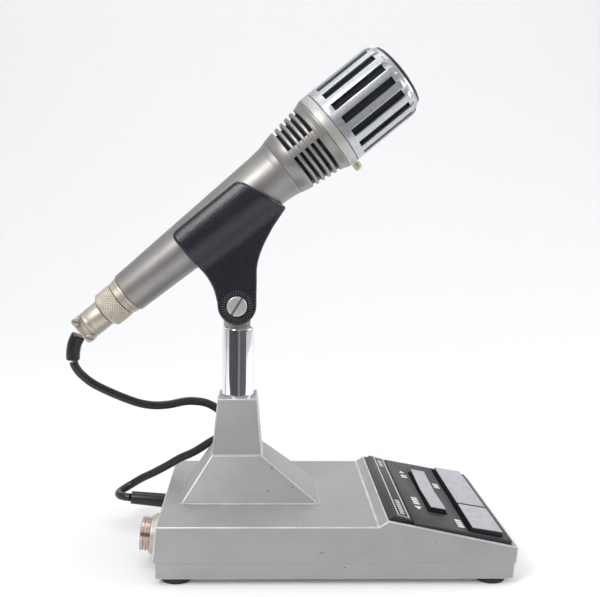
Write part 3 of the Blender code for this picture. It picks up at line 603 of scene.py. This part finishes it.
def feet_and_screws():
    """Rubber feet and the tray's cross-headed screws."""
    outline = rounded([(0.0, 2.4), (7.0, 2.4, 0.2), (6.9, 0.0, 0.7), (0.0, 0.0)], 4, False)
    for x, end in ((9.0, "rear"), (153.5, "front")):
        for y, side in ((-47.6, "near"), (47.6, "far")):
            at = HOME @ Matrix.Translation((x * MM, y * MM, 0.0))
            foot = paint(lathe(f"rubber_foot_{end}_{side}", outline, at, 48, False), "foot_rubber")
            fit(foot, "base", f"foot_{end}_{side}", slot="foot_rubber")
    head = rounded([(0.0, 12.0), (1.5, 12.0), (1.5, 3.5), (3.0, 3.5), (3.0, 2.6, 0.4), (0.0, 2.6)], 3, False)
    for (x, y), name in zip(BOSSES, ("rear_near", "rear_far", "front_near", "front_far")):
        at = HOME @ Matrix.Translation((x * MM, y * MM, 0.0))
        screw = lathe(f"tray_screw_{name}", head, at, 32, False)
        cut(screw, block("slot_a", (-1.6, -0.3, 2.0), (1.6, 0.3, 3.2), at),
            block("slot_b", (-0.3, -1.6, 2.0), (0.3, 1.6, 3.2), at))
        fit(paint(screw, "steel"), "base", f"case_screw_{name}", slot="steel")


# ---- Key panel ---------------------------------------------------------------------------------

def key_panel():
    """Black panel with wells for the keys, and the raised strip along its top with its bright frame."""
    plate = block("panel_plate", (1.9, -PANEL_HALF, -PANEL_THICK), (47.9, PANEL_HALF, 0.0), PANEL)
    cut(plate, block("key_well", (28.2, -50.6, -6.0), (44.4, 50.5, 2.0), PANEL),
        block("rocker_well", (12.4, -31.2, -6.0), (21.8, 35.8, 2.0), PANEL))
    paint(plate, "panel_black")
    soften(plate, 0.25)
    fit(plate, "base", "key_panel", slot="panel_black")

    strip = [(-9.6, -2.4), (-9.6, -1.1), (-7.3, 1.1), (0.9, 0.45), (1.4, 0.1), (1.4, -2.4)]
    trim = paint(prism("trim_bar", strip, -51.5, 51.5, PANEL), "panel_black")
    soften(trim, 0.22)
    fit(trim, "base", "trim_strip", slot="panel_black")
    lines = {"rear": (-5.2, -4.65, -48.7, 50.5), "front": (-0.15, 0.4, -48.7, 50.5),
             "near": (-4.65, -0.15, -48.7, -48.0), "far": (-4.65, -0.15, 49.8, 50.5)}
    for k in range(7):
        lines[f"near_{k}"] = (-3.5, -1.3, -45.0 + 3.1 * k, -43.1 + 3.1 * k)
    for k in range(4):
        lines[f"far_{k}"] = (-3.5, -1.3, 34.0 + 3.1 * k, 35.9 + 3.1 * k)
    for name, (rear, front, low, high) in lines.items():
        tops = [1.1 - 0.65 * (x + 7.3) / 8.2 for x in (rear, front)]
        line = [(rear, tops[0] - 0.1), (rear, tops[0] + 0.05),
                (front, tops[1] + 0.05), (front, tops[1] - 0.1)]
        fit(paint(prism(f"trim_line_{name}", line, low, high, PANEL), "steel"), "base", slot="steel")


def key(name, node, body, low, high):
    """A press key: a black body and the silver plate on top of it."""
    outline = [(29.9, 1.5), (29.9, -4.0), (40.0, -4.0), (40.0, -6.5), (41.0, -7.5), (43.0, -7.5),
               (43.8, -6.5), (43.8, -3.0), (43.8, 1.75)]
    frame_of_key = prism(f"{name}_body", outline, low + 0.1, high - 0.1, PANEL)
    side = PANEL @ Matrix.Translation((0.042, 0.0, -0.0055)) @ Matrix.Rotation(math.pi / 2, 4, "X")
    cut(frame_of_key, rod("rod_hole", 1.3, -60.0, 60.0, side, 24))
    fit(paint(frame_of_key, "black_plastic"), body, node, slot="black_plastic")
    top = [(29.7, 1.95), (29.7, 1.6), (43.95, 1.85), (43.95, 2.2)]
    plate = prism(f"{name}_plate", top, low + 0.6, high - 0.6, PANEL)
    paint(plate, "key_silver")
    soften(plate, 0.16, 3, 40.0)
    fit(plate, body, slot="key_silver")


def rocker():
    """Rocker: a black body and a silver plate with a shallow V along its top."""
    low, high = -29.5, 34.1
    middle = 0.5 * (low + high)
    across = PANEL @ Matrix.Rotation(math.pi / 2, 4, "Z")
    outline = [(low + 0.1, 1.7), (low + 0.1, -2.8), (middle - 6.0, -4.2), (middle + 6.0, -4.2),
               (high - 0.1, -2.8), (high - 0.1, 1.7), (middle, 0.7)]
    body = paint(prism("rocker_body", outline, -20.8, -13.7, across), "black_plastic")
    fit(body, "rocker", "up_down_rocker", slot="black_plastic")
    top = [(low, 2.2), (low, 1.8), (middle, 0.8), (high, 1.8), (high, 2.2), (middle, 1.2)]
    plate = paint(prism("rocker_plate", top, -20.95, -13.55, across), "key_silver")
    soften(plate, 0.16, 3, 30.0)
    fit(plate, "rocker", slot="key_silver")


def marks():
    """White signs beside the keys: two arrowheads, and rows of plain blocks where words would be."""
    shapes = {"arrow_up": [(6.8, 30.6), (10.0, 30.6), (8.4, 34.2)],
              "arrow_down": [(6.2, -25.8), (9.8, -25.8), (8.0, -30.6)]}
    rows = {"up": (7.2, 22.0, 2), "down": (6.6, -22.6, 4), "press": (23.4, 13.0, 3), "lock": (24.0, -46.6, 4)}
    for name, (x, y, count) in rows.items():
        for k in range(count):
            low = y + 2.9 * k
            shapes[f"{name}_{k}"] = [(x, low), (x + 3.0, low), (x + 3.0, low + 1.9), (x, low + 1.9)]
    for name, outline in shapes.items():
        mark = paint(prism(f"mark_{name}", outline, -0.05, 0.06, PANEL, True), "mark_white")
        fit(mark, "base", slot="key_silver")


# ---- Rear of the base --------------------------------------------------------------------------

def rear_fittings():
    """Threaded round connector with its nut, insert and pins, and the smooth boot round the lead."""
    thread = []
    for z in (6.7, 5.2, 3.9):
        thread += [(7.9, z), (7.3, z - 0.25), (7.3, z - 0.6), (7.9, z - 0.85)]
    tail = [(7.9, -5.0), (8.25, -5.0), (8.25, -6.4), (7.9, -6.4), (7.9, -8.0), (6.3, -8.0), (6.3, 7.7)]
    barrel = lathe("connector_barrel", [(6.8, 8.2), (7.6, 8.2), (7.9, 7.9)] + thread + tail, SOCKET, 72)
    fit(paint(barrel, "pink_brass"), "base", "rear_socket", slot="nickel")
    outline = [(10.0, 2.2, 0.5), (10.0, 0.35, 0.2), (8.2, 0.35), (8.2, 3.6, 0.2), (9.0, 3.6, 0.4), (9.0, 2.2)]
    nut = lathe("connector_nut", rounded(outline, 3), SOCKET, 72)
    fit(paint(nut, "nickel"), "base", "rear_socket_nut", slot="nickel")
    outline = rounded([(0.0, 2.6), (6.0, 2.6, 0.3), (6.0, -7.5, 0.3), (0.0, -7.5)], 3, False)
    insert = lathe("connector_insert", outline, SOCKET, 48, False)
    cut(insert, block("keyway", (4.4, -0.8, 0.0), (7.0, 0.8, 5.0), SOCKET))
    fit(paint(insert, "black_plastic"), "base", "rear_socket_insert", slot="black_plastic")
    pin = rounded([(0.0, 6.0), (0.6, 6.0, 0.35), (0.6, 2.0), (0.0, 2.0)], 3, False)
    for k in range(8):
        turn = 2.0 * math.pi * k / 7.0
        reach = 3.9 if k < 7 else 0.0
        at = SOCKET @ Matrix.Translation((reach * MM * math.cos(turn), reach * MM * math.sin(turn), 0.0))
        fit(paint(lathe(f"connector_pin_{k}", pin, at, 16, False), "nickel"), "base", slot="nickel")

    outline = [(0.0, 19.5), (3.3, 19.5, 0.35), (3.7, 1.0), (3.7, 0.35), (3.1, 0.35), (3.1, -3.0), (0.0, -3.0)]
    boot = lathe("lead_boot_sleeve", rounded(outline, 4, False), BOOT, 40, False)
    fit(paint(boot, "lead_rubber"), "base", "lead_boot", slot="lead_rubber")


# ---- Post --------------------------------------------------------------------------------------

def post():
    """Polished post with a rolled top edge."""
    outline = rounded([(7.85, 110.0, 1.1), (7.85, 36.0), (6.65, 36.0), (6.65, 110.0, 0.2)], 6)
    fit(paint(lathe("chrome_post", outline, POST, 128), "chrome"), "base", "post_tube", slot="chrome")
    for node in ("tongue_block", "washer_near", "washer_far", "post_nut"):
        dress(node, "steel")


# ---- Holder ------------------------------------------------------------------------------------

TAIL_RADIUS, TAPER = 10.4, 0.0382
SCREW = (38.1, -37.95)                   # pivot screw: distance from the tail, height off the axis
EAR_END = 9.5
EAR_HALF = 8.6                           # half the depth over both ears
TUBE_GAP = 0.3                           # between the tube and the clip
CLIP_SKIN, CLIP_EDGE = 2.3, 1.3          # wall round the tube, radius of the rounded edge
CLIP_BLEND = 4.5                         # depth over which the channel runs into the ears
SLOT_TURN = math.radians(109.0)
SCREW_AT = (MIC @ Matrix.Translation((-SCREW[1] * MM, 0.0, SCREW[0] * MM))
            @ Matrix.Rotation(math.pi / 2, 4, "X"))


def side_point(t, points):
    """A point at a share t of a polyline's length."""
    lengths = [(Vector(b) - Vector(a)).length for a, b in zip(points, points[1:])]
    left = t * sum(lengths)
    for (a, b), length in zip(zip(points, points[1:]), lengths):
        if left <= length or b is points[-1]:
            return Vector(a).lerp(Vector(b), min(1.0, left / length))
        left -= length


def curve(points, count):
    """A Catmull-Rom curve through points, sampled count times between each two."""
    route = [Vector(p) for p in points]
    route = [2 * route[0] - route[1]] + route + [2 * route[-1] - route[-2]]
    made = []
    for a, b, c, d in zip(route, route[1:], route[2:], route[3:]):
        for i in range(count):
            t = i / count
            made.append(0.5 * (2 * b + (c - a) * t + (2 * a - 5 * b + 4 * c - d) * t ** 2
                               + (3 * b - a - 3 * c + d) * t ** 3))
    return made + [route[-2]]


def ear_arc(start, sweep, steps, first):
    """Points round the end of the ears, over a sweep in degrees."""
    turns = [math.radians(start + sweep * k / steps) for k in range(first, steps + 1)]
    return [Vector((SCREW[0] + EAR_END * math.cos(a), SCREW[1] + EAR_END * math.sin(a))) for a in turns]


def clip_sides():
    """The clip's rear and front outlines, top to ears, as distance from the tail and height."""
    rear = rounded([(55.0, 9.0), (35.3, 9.0, 3.4), (35.3, -9.0)], 6, False)[1:]
    rear += curve([(35.3, -9.0), (35.6, -14.0), (35.5, -19.0), (34.2, -25.0), (31.6, -30.6)], 6)[1:]
    rear += ear_arc(152.0, 118.0, 14, 0)
    top = [(55.0, 9.0), (76.0, 9.0, 3.0), (78.6, 5.8, 2.0), (86.9, -15.9, 1.2), (75.8, -19.3)]
    front = rounded(top, 6, False)[1:]
    front += curve([(75.8, -19.3), (67.3, -23.0), (61.6, -26.3), (57.0, -30.1), (52.9, -35.0)], 6)[1:]
    front += ear_arc(333.0, -63.0, 10, 1)
    return rear, front


def distance(p, a, b):
    """Distance of a point from the line between two others."""
    along = b - a
    t = max(0.0, min(1.0, (p - a).dot(along) / max(along.length_squared, 0.000001)))
    return (p - a - along * t).length


def half_depth(p, outline):
    """Half the clip's depth at a point of its side view: the channel, the ears, and the rounded edge."""
    radius = TAIL_RADIUS + TAPER * p.x + TUBE_GAP + CLIP_SKIN
    knee = -0.7071 * radius
    tube = math.sqrt(radius * radius - max(p.y, knee) ** 2) + min(p.y - knee, 0.0)
    mix = max(0.0, min(1.0, 0.5 + 0.5 * (tube - EAR_HALF) / CLIP_BLEND)) if p.y < 0.0 else 1.0
    depth = EAR_HALF + (tube - EAR_HALF) * mix + CLIP_BLEND * mix * (1.0 - mix)
    near = min(distance(p, a, b) for a, b in zip(outline, outline[1:] + outline[:1]))
    share = min(near / CLIP_EDGE, 1.0)
    return depth - CLIP_EDGE * (1.0 - math.sqrt(1.0 - (1.0 - share) ** 2))


def clip_body():
    """Moulded clip: a channel round the tube that runs smoothly into two ears."""
    rows, columns = 120, 56
    rear, front = clip_sides()
    outline = rear + front[::-1]
    grid = []
    for i in range(rows + 1):
        a, b = side_point(i / rows, rear), side_point(i / rows, front)
        line = []
        for j in range(columns + 1):
            eased = 0.5 - 0.5 * math.cos(math.pi * j / columns)
            line.append(a.lerp(b, 0.35 * j / columns + 0.65 * eased))
        grid.append(line)
    shape = bmesh.new()
    sides = []
    for sign in (-1.0, 1.0):
        sides.append([[shape.verts.new((-p.y, sign * half_depth(p, outline), p.x)) for p in line]
                      for line in grid])
    for side in sides:
        for i in range(rows):
            for j in range(columns):
                shape.faces.new((side[i][j], side[i][j + 1], side[i + 1][j + 1], side[i + 1][j]))
    border = [(0, j) for j in range(columns)] + [(i, columns) for i in range(rows)]
    border += [(rows, j) for j in range(columns, 0, -1)] + [(i, 0) for i in range(rows, 0, -1)]
    for (i, j), (k, m) in zip(border, border[1:] + border[:1]):
        shape.faces.new((sides[0][i][j], sides[0][k][m], sides[1][k][m], sides[1][i][j]))
    bmesh.ops.remove_doubles(shape, verts=shape.verts, dist=0.002)
    clip = solid("clip", shape, MIC)
    wide, narrow = (TAIL_RADIUS + TAPER * z + TUBE_GAP for z in (95.0, 30.0))
    bore = [(0.0, 95.0), (wide, 95.0), (narrow, 30.0), (0.0, 30.0)]
    gap = [(14.6, 20.0), (14.6, 100.0), (60.0, 100.0), (60.0, 20.0)]
    cut(clip, lathe("clip_bore", bore, MIC, 96, False), prism("ear_gap", gap, -4.3, 4.3, MIC),
        rod("screw_way", 2.8, -20.0, 20.0, SCREW_AT, 32))
    paint(clip, "clip_black")
    fit(clip, "mic", "holder", sharp=40.0, slot="clip_black")


def clip_serration():
    """Ring of teeth round the pivot screw, each with one face painted lighter as a painted highlight."""
    teeth = 36
    shape = bmesh.new()
    loops = []
    for k in range(4 * teeth):
        turn = math.pi * k / (2 * teeth)
        high = (8.5, 8.85, 8.85, 8.5)[k % 4]
        section = ((5.5, 8.2), (5.5, high), (7.6, high), (8.0, 8.2))
        loops.append([shape.verts.new((r * math.cos(turn), r * math.sin(turn), z)) for r, z in section])
    for k, (a, b) in enumerate(zip(loops, loops[1:] + loops[:1])):
        for i in range(4):
            # The top face of each tooth gets the painted highlight.
            shape.faces.new((a[i - 1], a[i], b[i], b[i - 1])).material_index = int(i == 2 and k % 4 == 1)
    fit(paint(solid("clip_serration", shape, SCREW_AT), "clip_black", "clip_tooth_highlight"), "mic", slot="clip_black")


def pivot_screw():
    """Slotted screw through both ears, and its nut on the far side."""
    outline = [(0.0, 11.4), (4.85, 11.4, 0.4), (4.85, 8.95), (2.5, 8.95), (2.5, -14.0), (0.0, -14.0)]
    pin = lathe("clip_screw", rounded(outline, 4, False), SCREW_AT, 64, False)
    paint(pin, "steel", "slot_painted_shade")
    slot_at = SCREW_AT @ Matrix.Rotation(SLOT_TURN, 4, "Z")
    cut(pin, block("driver_slot", (-7.0, -0.6, 10.3), (7.0, 0.6, 13.0), slot_at))
    # The slot's floor gets painted shade.
    paint_slot_shade(pin, 10.0, 10.9)
    fit(pin, "mic", "pivot_screw", slot="steel")
    outline = [(5.2, -8.95, 0.3), (5.2, -12.6, 0.5), (3.3, -12.6), (3.3, -8.95)]
    nut = lathe("clip_nut", rounded(outline, 2), SCREW_AT, 6)
    fit(paint(nut, "steel"), "mic", "pivot_nut", sharp=20.0, slot="steel")


# ---- Microphone --------------------------------------------------------------------------------

VENT_START, VENT_PITCH, VENT_WIDTH, VENT_ROWS = 104.0, 3.32, 1.65, 5


def vent_wall(z):
    """Outer radius of the ridged part at a distance from the tail."""
    return 16.3 + 0.1337 * (z - 102.6)


def vent_rows():
    """The vent housing's rows from tail to head, and the indexes of the rows where a slot starts."""
    rows = [(12.3, 93.0, 11.2, 93.0), (12.3, 97.6, 11.2, 97.0), (15.05, 97.6, 11.2, 97.6),
            (15.25, 97.85, 11.2, 98.4), (16.2, 102.0, 13.5, 101.5), (16.3, 102.6, 13.7, 102.0)]
    starts = []
    for k in range(VENT_ROWS):
        low = VENT_START + VENT_PITCH * k - 0.1
        high = low + VENT_WIDTH
        starts.append(len(rows) + 2)
        for z, drop in ((low - 0.4, 0.0), (low - 0.12, 0.12), (low, 0.55), (high, 0.55), (high + 0.12, 0.12),
                        (high + 0.4, 0.0)):
            rows.append((vent_wall(z) - drop, z, 13.7 + 0.153 * (z - 102.0), z))
    rows += [(18.62, 120.0, 16.4, 120.0), (18.95, 121.0, 16.4, 121.0), (19.45, 122.3, 16.4, 122.3),
             (19.75, 123.0, 16.4, 123.0), (19.75, 123.4, 16.4, 123.3), (18.1, 123.4, 16.5, 123.5),
             (18.1, 130.4, 16.6, 130.4)]
    return [(r, r, z, inside, inside_z) for r, z, inside, inside_z in rows], starts


def mic_body():
    """Tapered tube, the ridged vent housing with its liner, and the bright ring in front of it."""
    outline = [(15.05, 97.5, 0.15), (14.3, 94.0, 6.0), (13.76, 88.0, 20.0), (TAIL_RADIUS, 0.0, 0.6),
               (8.9, 0.0, 0.2), (12.2, 88.0), (12.8, 94.0), (13.6, 97.5)]
    tube = lathe("tube_shell", rounded(outline, 5), MIC, 128)
    fit(paint(tube, "mic_silver"), "mic", "mic_tube", slot="mic_silver")

    rows, starts = vent_rows()
    turns = [(math.radians(2.5 * k - 105.5), 0.0) for k in range(144)]
    housing = pierced("vent_shell", rows, turns, lambda i, k: i in starts and k % 48 >= 6)
    fit(paint(housing, "mic_silver"), "mic", "vent_housing", slot="mic_silver")
    liner = [(13.3, 101.6), (16.1, 118.6), (15.3, 118.6), (12.5, 101.6)]
    fit(paint(lathe("vent_cloth", liner, MIC, 96), "grille_cloth"), "mic", "vent_liner", slot="grille_cloth")
    ring = rounded([(20.0, 128.3, 0.2), (20.0, 123.6, 0.2), (18.4, 123.6), (18.4, 128.3)], 3)
    fit(paint(lathe("bright_ring", ring, MIC, 144), "ring_cream"), "mic", "name_ring", slot="ring_cream")


GRILLE_ROWS = (
    # outer radius, radius in a flute, distance from the tail, inner radius, its distance
    (19.75, 19.75, 128.6, 18.4, 128.6), (20.0, 20.0, 128.85, 18.4, 128.9),
    (20.0, 20.0, 132.8, 18.4, 132.8), (19.97, 19.97, 143.0, 18.4, 143.0),
    (19.93, 19.93, 153.0, 18.4, 153.0), (19.9, 18.9, 163.0, 17.96, 163.0),
    (19.85, 18.7, 163.6, 17.6, 163.6), (19.7, 18.5, 164.3, 17.25, 164.2),
    (19.4, 18.3, 164.9, 16.85, 164.7), (18.95, 18.1, 165.5, 16.5, 165.1),
    (18.4, 17.95, 166.0, 16.15, 165.5), (17.95, 17.8, 166.3, 15.8, 165.9),
    (17.75, 17.65, 166.8, 15.45, 166.3), (17.3, 17.3, 167.6, 15.2, 166.8),
    (16.95, 16.95, 168.05, 15.2, 167.5), (16.6, 16.6, 168.2, 15.2, 168.2),
)


def head():
    """Slotted grille with a flute past the front of each slot, ribbed cloth, and the black front cap."""
    across = [(-5.6, 0.0), (-4.9, 0.7), (-3.4, 0.93), (-1.7, 1.0), (0.0, 1.0), (1.7, 1.0),
              (3.4, 0.93), (4.9, 0.7), (5.6, 0.0), (8.4, 0.0), (11.25, 0.0), (14.1, 0.0)]
    turns = [(math.radians(-87.6 + 22.5 * i + angle), share) for i in range(16) for angle, share in across]
    grille = pierced("grille_shell", GRILLE_ROWS, turns, lambda i, k: 2 <= i < 5 and k % len(across) < 8)
    paint(grille, "grille_silver")
    soften(grille, 0.12, 2, 50.0)
    fit(grille, "mic", "head_grille", slot="mic_silver")

    outline = [(16.8, 164.0), (18.1, 161.4), (18.1, 131.0), (17.3, 131.0), (17.3, 161.2), (16.0, 163.8)]
    cloth = paint(lathe("cloth_sleeve", rounded(outline, 3), MIC, 128), "grille_cloth")
    fit(cloth, "mic", "grille_cloth", slot="grille_cloth")
    outline = [(0.0, 171.6), (6.0, 171.3, 20.0), (11.0, 170.7, 14.0), (15.0, 169.8, 3.0),
               (16.5, 169.1, 0.4), (16.6, 168.3), (0.0, 168.3)]
    cap = paint(lathe("nose_cap", rounded(outline, 5, False), MIC, 96, False), "black_plastic")
    fit(cap, "mic", "front_cap", slot="black_plastic")

    stud_at = MIC @ Matrix.Translation((0.020, 0.0, 0.1266)) @ Matrix.Rotation(math.pi / 2, 4, "Y")
    outline = [(0.0, 4.1), (1.6, 4.1, 0.4), (2.1, 3.3, 0.3), (2.1, 1.3, 0.3), (1.8, 0.3), (0.0, 0.3)]
    stud = paint(lathe("stud", rounded(outline, 3, False), stud_at, 32, False), "old_brass")
    fit(stud, "mic", "head_lock_stud", slot="nickel")
    for node, name in (("capsule", "steel"), ("capsule_mount", "lead_rubber"), ("transformer", "steel")):
        dress(node, name)


# ---- Plug and lead -----------------------------------------------------------------------------

def knurl_ring():
    """Coupling ring with a crossed knurl of small pyramids."""
    teeth, pitch, depth = 36, 1.56, 0.36
    front, rear, count = -5.4, -13.2, 56
    edge = rounded([(6.2, -4.9), (9.0, -4.9, 0.4), (9.0, front)], 3, False)
    edge += [Vector((8.95, front + (rear - front) * k / count)) for k in range(1, count + 1)]
    edge += rounded([(8.95, rear), (7.5, -14.8, 0.4), (6.2, -14.8)], 3, False)[1:]
    shape = bmesh.new()
    grid = []
    for radius, z in edge:
        row = []
        for k in range(8 * teeth):
            turn = math.pi * k / (4 * teeth)
            lift = 0.0
            if rear < z < front:
                lift = depth * abs(math.sin(0.5 * teeth * turn + math.pi * z / pitch)
                                   * math.sin(0.5 * teeth * turn - math.pi * z / pitch))
            reach = radius + lift
            row.append(shape.verts.new((reach * math.cos(turn), reach * math.sin(turn), z)))
        grid.append(row)
    for a, b in zip(grid, grid[1:] + grid[:1]):
        for k in range(8 * teeth):
            shape.faces.new((a[k - 1], a[k], b[k], b[k - 1]))
    fit(paint(solid("knurled_ring", shape, MIC), "nickel"), "coupling", "coupling_ring", slot="nickel")


def plug():
    """Threaded tail socket, knurled coupling ring, plug body and cable clamp."""
    outline = [(8.6, 10.0), (8.6, -0.3), (9.7, -0.3, 0.3), (9.7, -1.7, 0.3), (9.2, -1.9), (9.2, -2.2),
               (9.5, -2.4, 0.2), (9.5, -3.1, 0.2), (9.0, -3.3), (9.0, -3.6), (9.2, -3.8, 0.2),
               (9.2, -4.5, 0.2), (7.0, -4.5), (7.0, 10.0)]
    flange = lathe("tail_flange", rounded(outline, 3), MIC, 96)
    fit(paint(flange, "nickel"), "mic", "tail_socket", slot="nickel")
    dress("tail_socket_insert", "black_plastic")

    knurl_ring()

    outline = [(5.8, -5.6), (5.8, -15.1), (7.0, -15.3, 0.3), (7.0, -22.6, 0.2), (6.7, -22.8), (6.7, -23.1),
               (7.0, -23.3, 0.2), (7.0, -25.0, 0.4), (3.2, -25.0), (3.2, -16.0), (4.2, -5.6)]
    body = lathe("plug_body", rounded(outline, 3), MIC, 96)
    fit(paint(body, "nickel"), "mic", "plug_shell", slot="nickel")

    outline = rounded([(-7.3, -30.3, 2.4), (7.3, -30.3, 2.4), (7.3, -25.3, 2.2), (-7.3, -25.3, 2.2)], 6)
    clamp = prism("clamp_saddle", outline, -4.4, 4.4, MIC)
    cutters = [rod("clamp_bore", 3.2, -34.0, -20.0, MIC, 40)]
    outline = [(0.0, 6.2), (2.0, 6.2, 0.35), (2.0, 4.7), (0.85, 4.7), (0.85, -3.6), (0.0, -3.6)]
    screw = rounded(outline, 3, False)
    for side, name in ((-1, "upper"), (1, "lower")):
        at = MIC @ Matrix.Translation((side * 0.0052, 0.0, -0.0280)) @ Matrix.Rotation(math.pi / 2, 4, "X")
        cutters.append(rod("clamp_hole", 1.15, -10.0, 10.0, at, 24))
        pin = paint(lathe(f"clamp_pin_{name}", screw, at, 40, False), "nickel", "slot_painted_shade")
        cut(pin, block("driver_slot", (-2.4, -0.3, 5.5), (2.4, 0.3, 7.0), at @ Matrix.Rotation(0.6, 4, "Z")))
        # The slot's floor gets painted shade.
        paint_slot_shade(pin, 5.3, 5.75)
        fit(pin, "mic", f"clamp_screw_{name}", slot="steel")
    cut(clamp, *cutters)
    paint(clamp, "nickel")
    soften(clamp, 0.35, 2, 40.0)
    fit(clamp, "mic", "cable_clamp", slot="nickel")


LEAD_RADIUS = 2.1
LEAD_ROUTE = (
    (-45.8, 0.0, 92.1), (-45.0, 0.3, 89.6), (-42.6, 1.4, 85.8), (-37.3, 3.2, 80.8), (-30.0, 5.0, 76.5),
    (-21.2, 7.0, 72.2), (-13.9, 9.0, 69.3), (-6.9, 11.0, 67.9), (0.3, 12.5, 68.1),
    (7.9, 14.0, 69.4), (13.8, 15.4, 69.2), (19.2, 16.6, 67.9), (24.4, 17.4, 64.9),
    (28.9, 18.2, 60.6), (30.4, 18.9, 55.4), (27.4, 19.6, 50.6), (21.2, 20.4, 46.9),
    (12.2, 22.8, 40.6), (4.5, 25.4, 36.4), (-2.6, 28.4, 31.5), (-9.6, 31.6, 26.9),
    (-16.4, 34.6, 22.9), (-22.0, 36.4, 19.1), (-26.3, 34.6, 16.8), (-28.3, 30.6, 16.0),
    (-27.3, 26.2, 16.0), (-24.4, 23.0, 16.2), (-21.2, 22.05, 16.15),
)
SLEEVE_ROUTE = ((-43.15, 0.0, 105.4), (-45.0, 0.0, 101.6), (-45.9, 0.0, 97.3), (-46.1, 0.0, 92.95))


def hose(name, line, radii, sides=20):
    """A closed tube along a line of points, with a radius at each."""
    shape = bmesh.new()
    rows = []
    across = Vector((0.0, 1.0, 0.0))
    for i, p in enumerate(line):
        along = (line[min(i + 1, len(line) - 1)] - line[max(i - 1, 0)]).normalized()
        across = (across - along * across.dot(along)).normalized()
        other = along.cross(across)
        turns = [2.0 * math.pi * k / sides for k in range(sides)]
        rows.append([shape.verts.new(p + radii[i] * (across * math.cos(a) + other * math.sin(a)))
                     for a in turns])
    for low, high in zip(rows, rows[1:]):
        for k in range(sides):
            shape.faces.new((low[k - 1], low[k], high[k], high[k - 1]))
    shape.faces.new(rows[0])
    shape.faces.new(rows[-1])
    return solid(name, shape, HOME)


def lead():
    """The lead from the plug to the base, and the sleeve over its first stretch."""
    sleeve_line = curve(SLEEVE_ROUTE, 8)
    radii = [3.6 - 0.25 * i / (len(sleeve_line) - 1) for i in range(len(sleeve_line))]
    radii[-1] -= 0.35
    radii[0] -= 0.3
    sleeve = paint(hose("rubber_sleeve", sleeve_line, radii, 32), "lead_rubber")
    fit(sleeve, "mic", "lead_sleeve", slot="lead_rubber")

    line = curve(LEAD_ROUTE, 6)
    cable = paint(hose("cable", line, [LEAD_RADIUS] * len(line)), "lead_rubber")
    cable.data.shade_smooth()
    cable.data.set_sharp_from_angle(angle=math.radians(50.0))
    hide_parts("lead")
    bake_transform(cable)


def inner_nodes():
    """Finishes for the CAD nodes that are shown as they are."""
    finishes = {
        "steel": ("key_rod", "ptt_spring", "lock_spring", "slide_switch_case"),
        "board": ("key_board", "amplifier_board"),
        "black_plastic": ("slide_switch_knob",),
    }
    for name, nodes in finishes.items():
        for node in nodes:
            dress(node, name)


case_top()
case_tray()
feet_and_screws()
key_panel()
key("lock", "lock_key", "lock", -50.0, -14.6)
key("ptt", "ptt_key", "ptt", -13.6, 49.9)
rocker()
marks()
rear_fittings()
post()
clip_body()
clip_serration()
pivot_screw()
mic_body()
head()
plug()
lead()
inner_nodes()
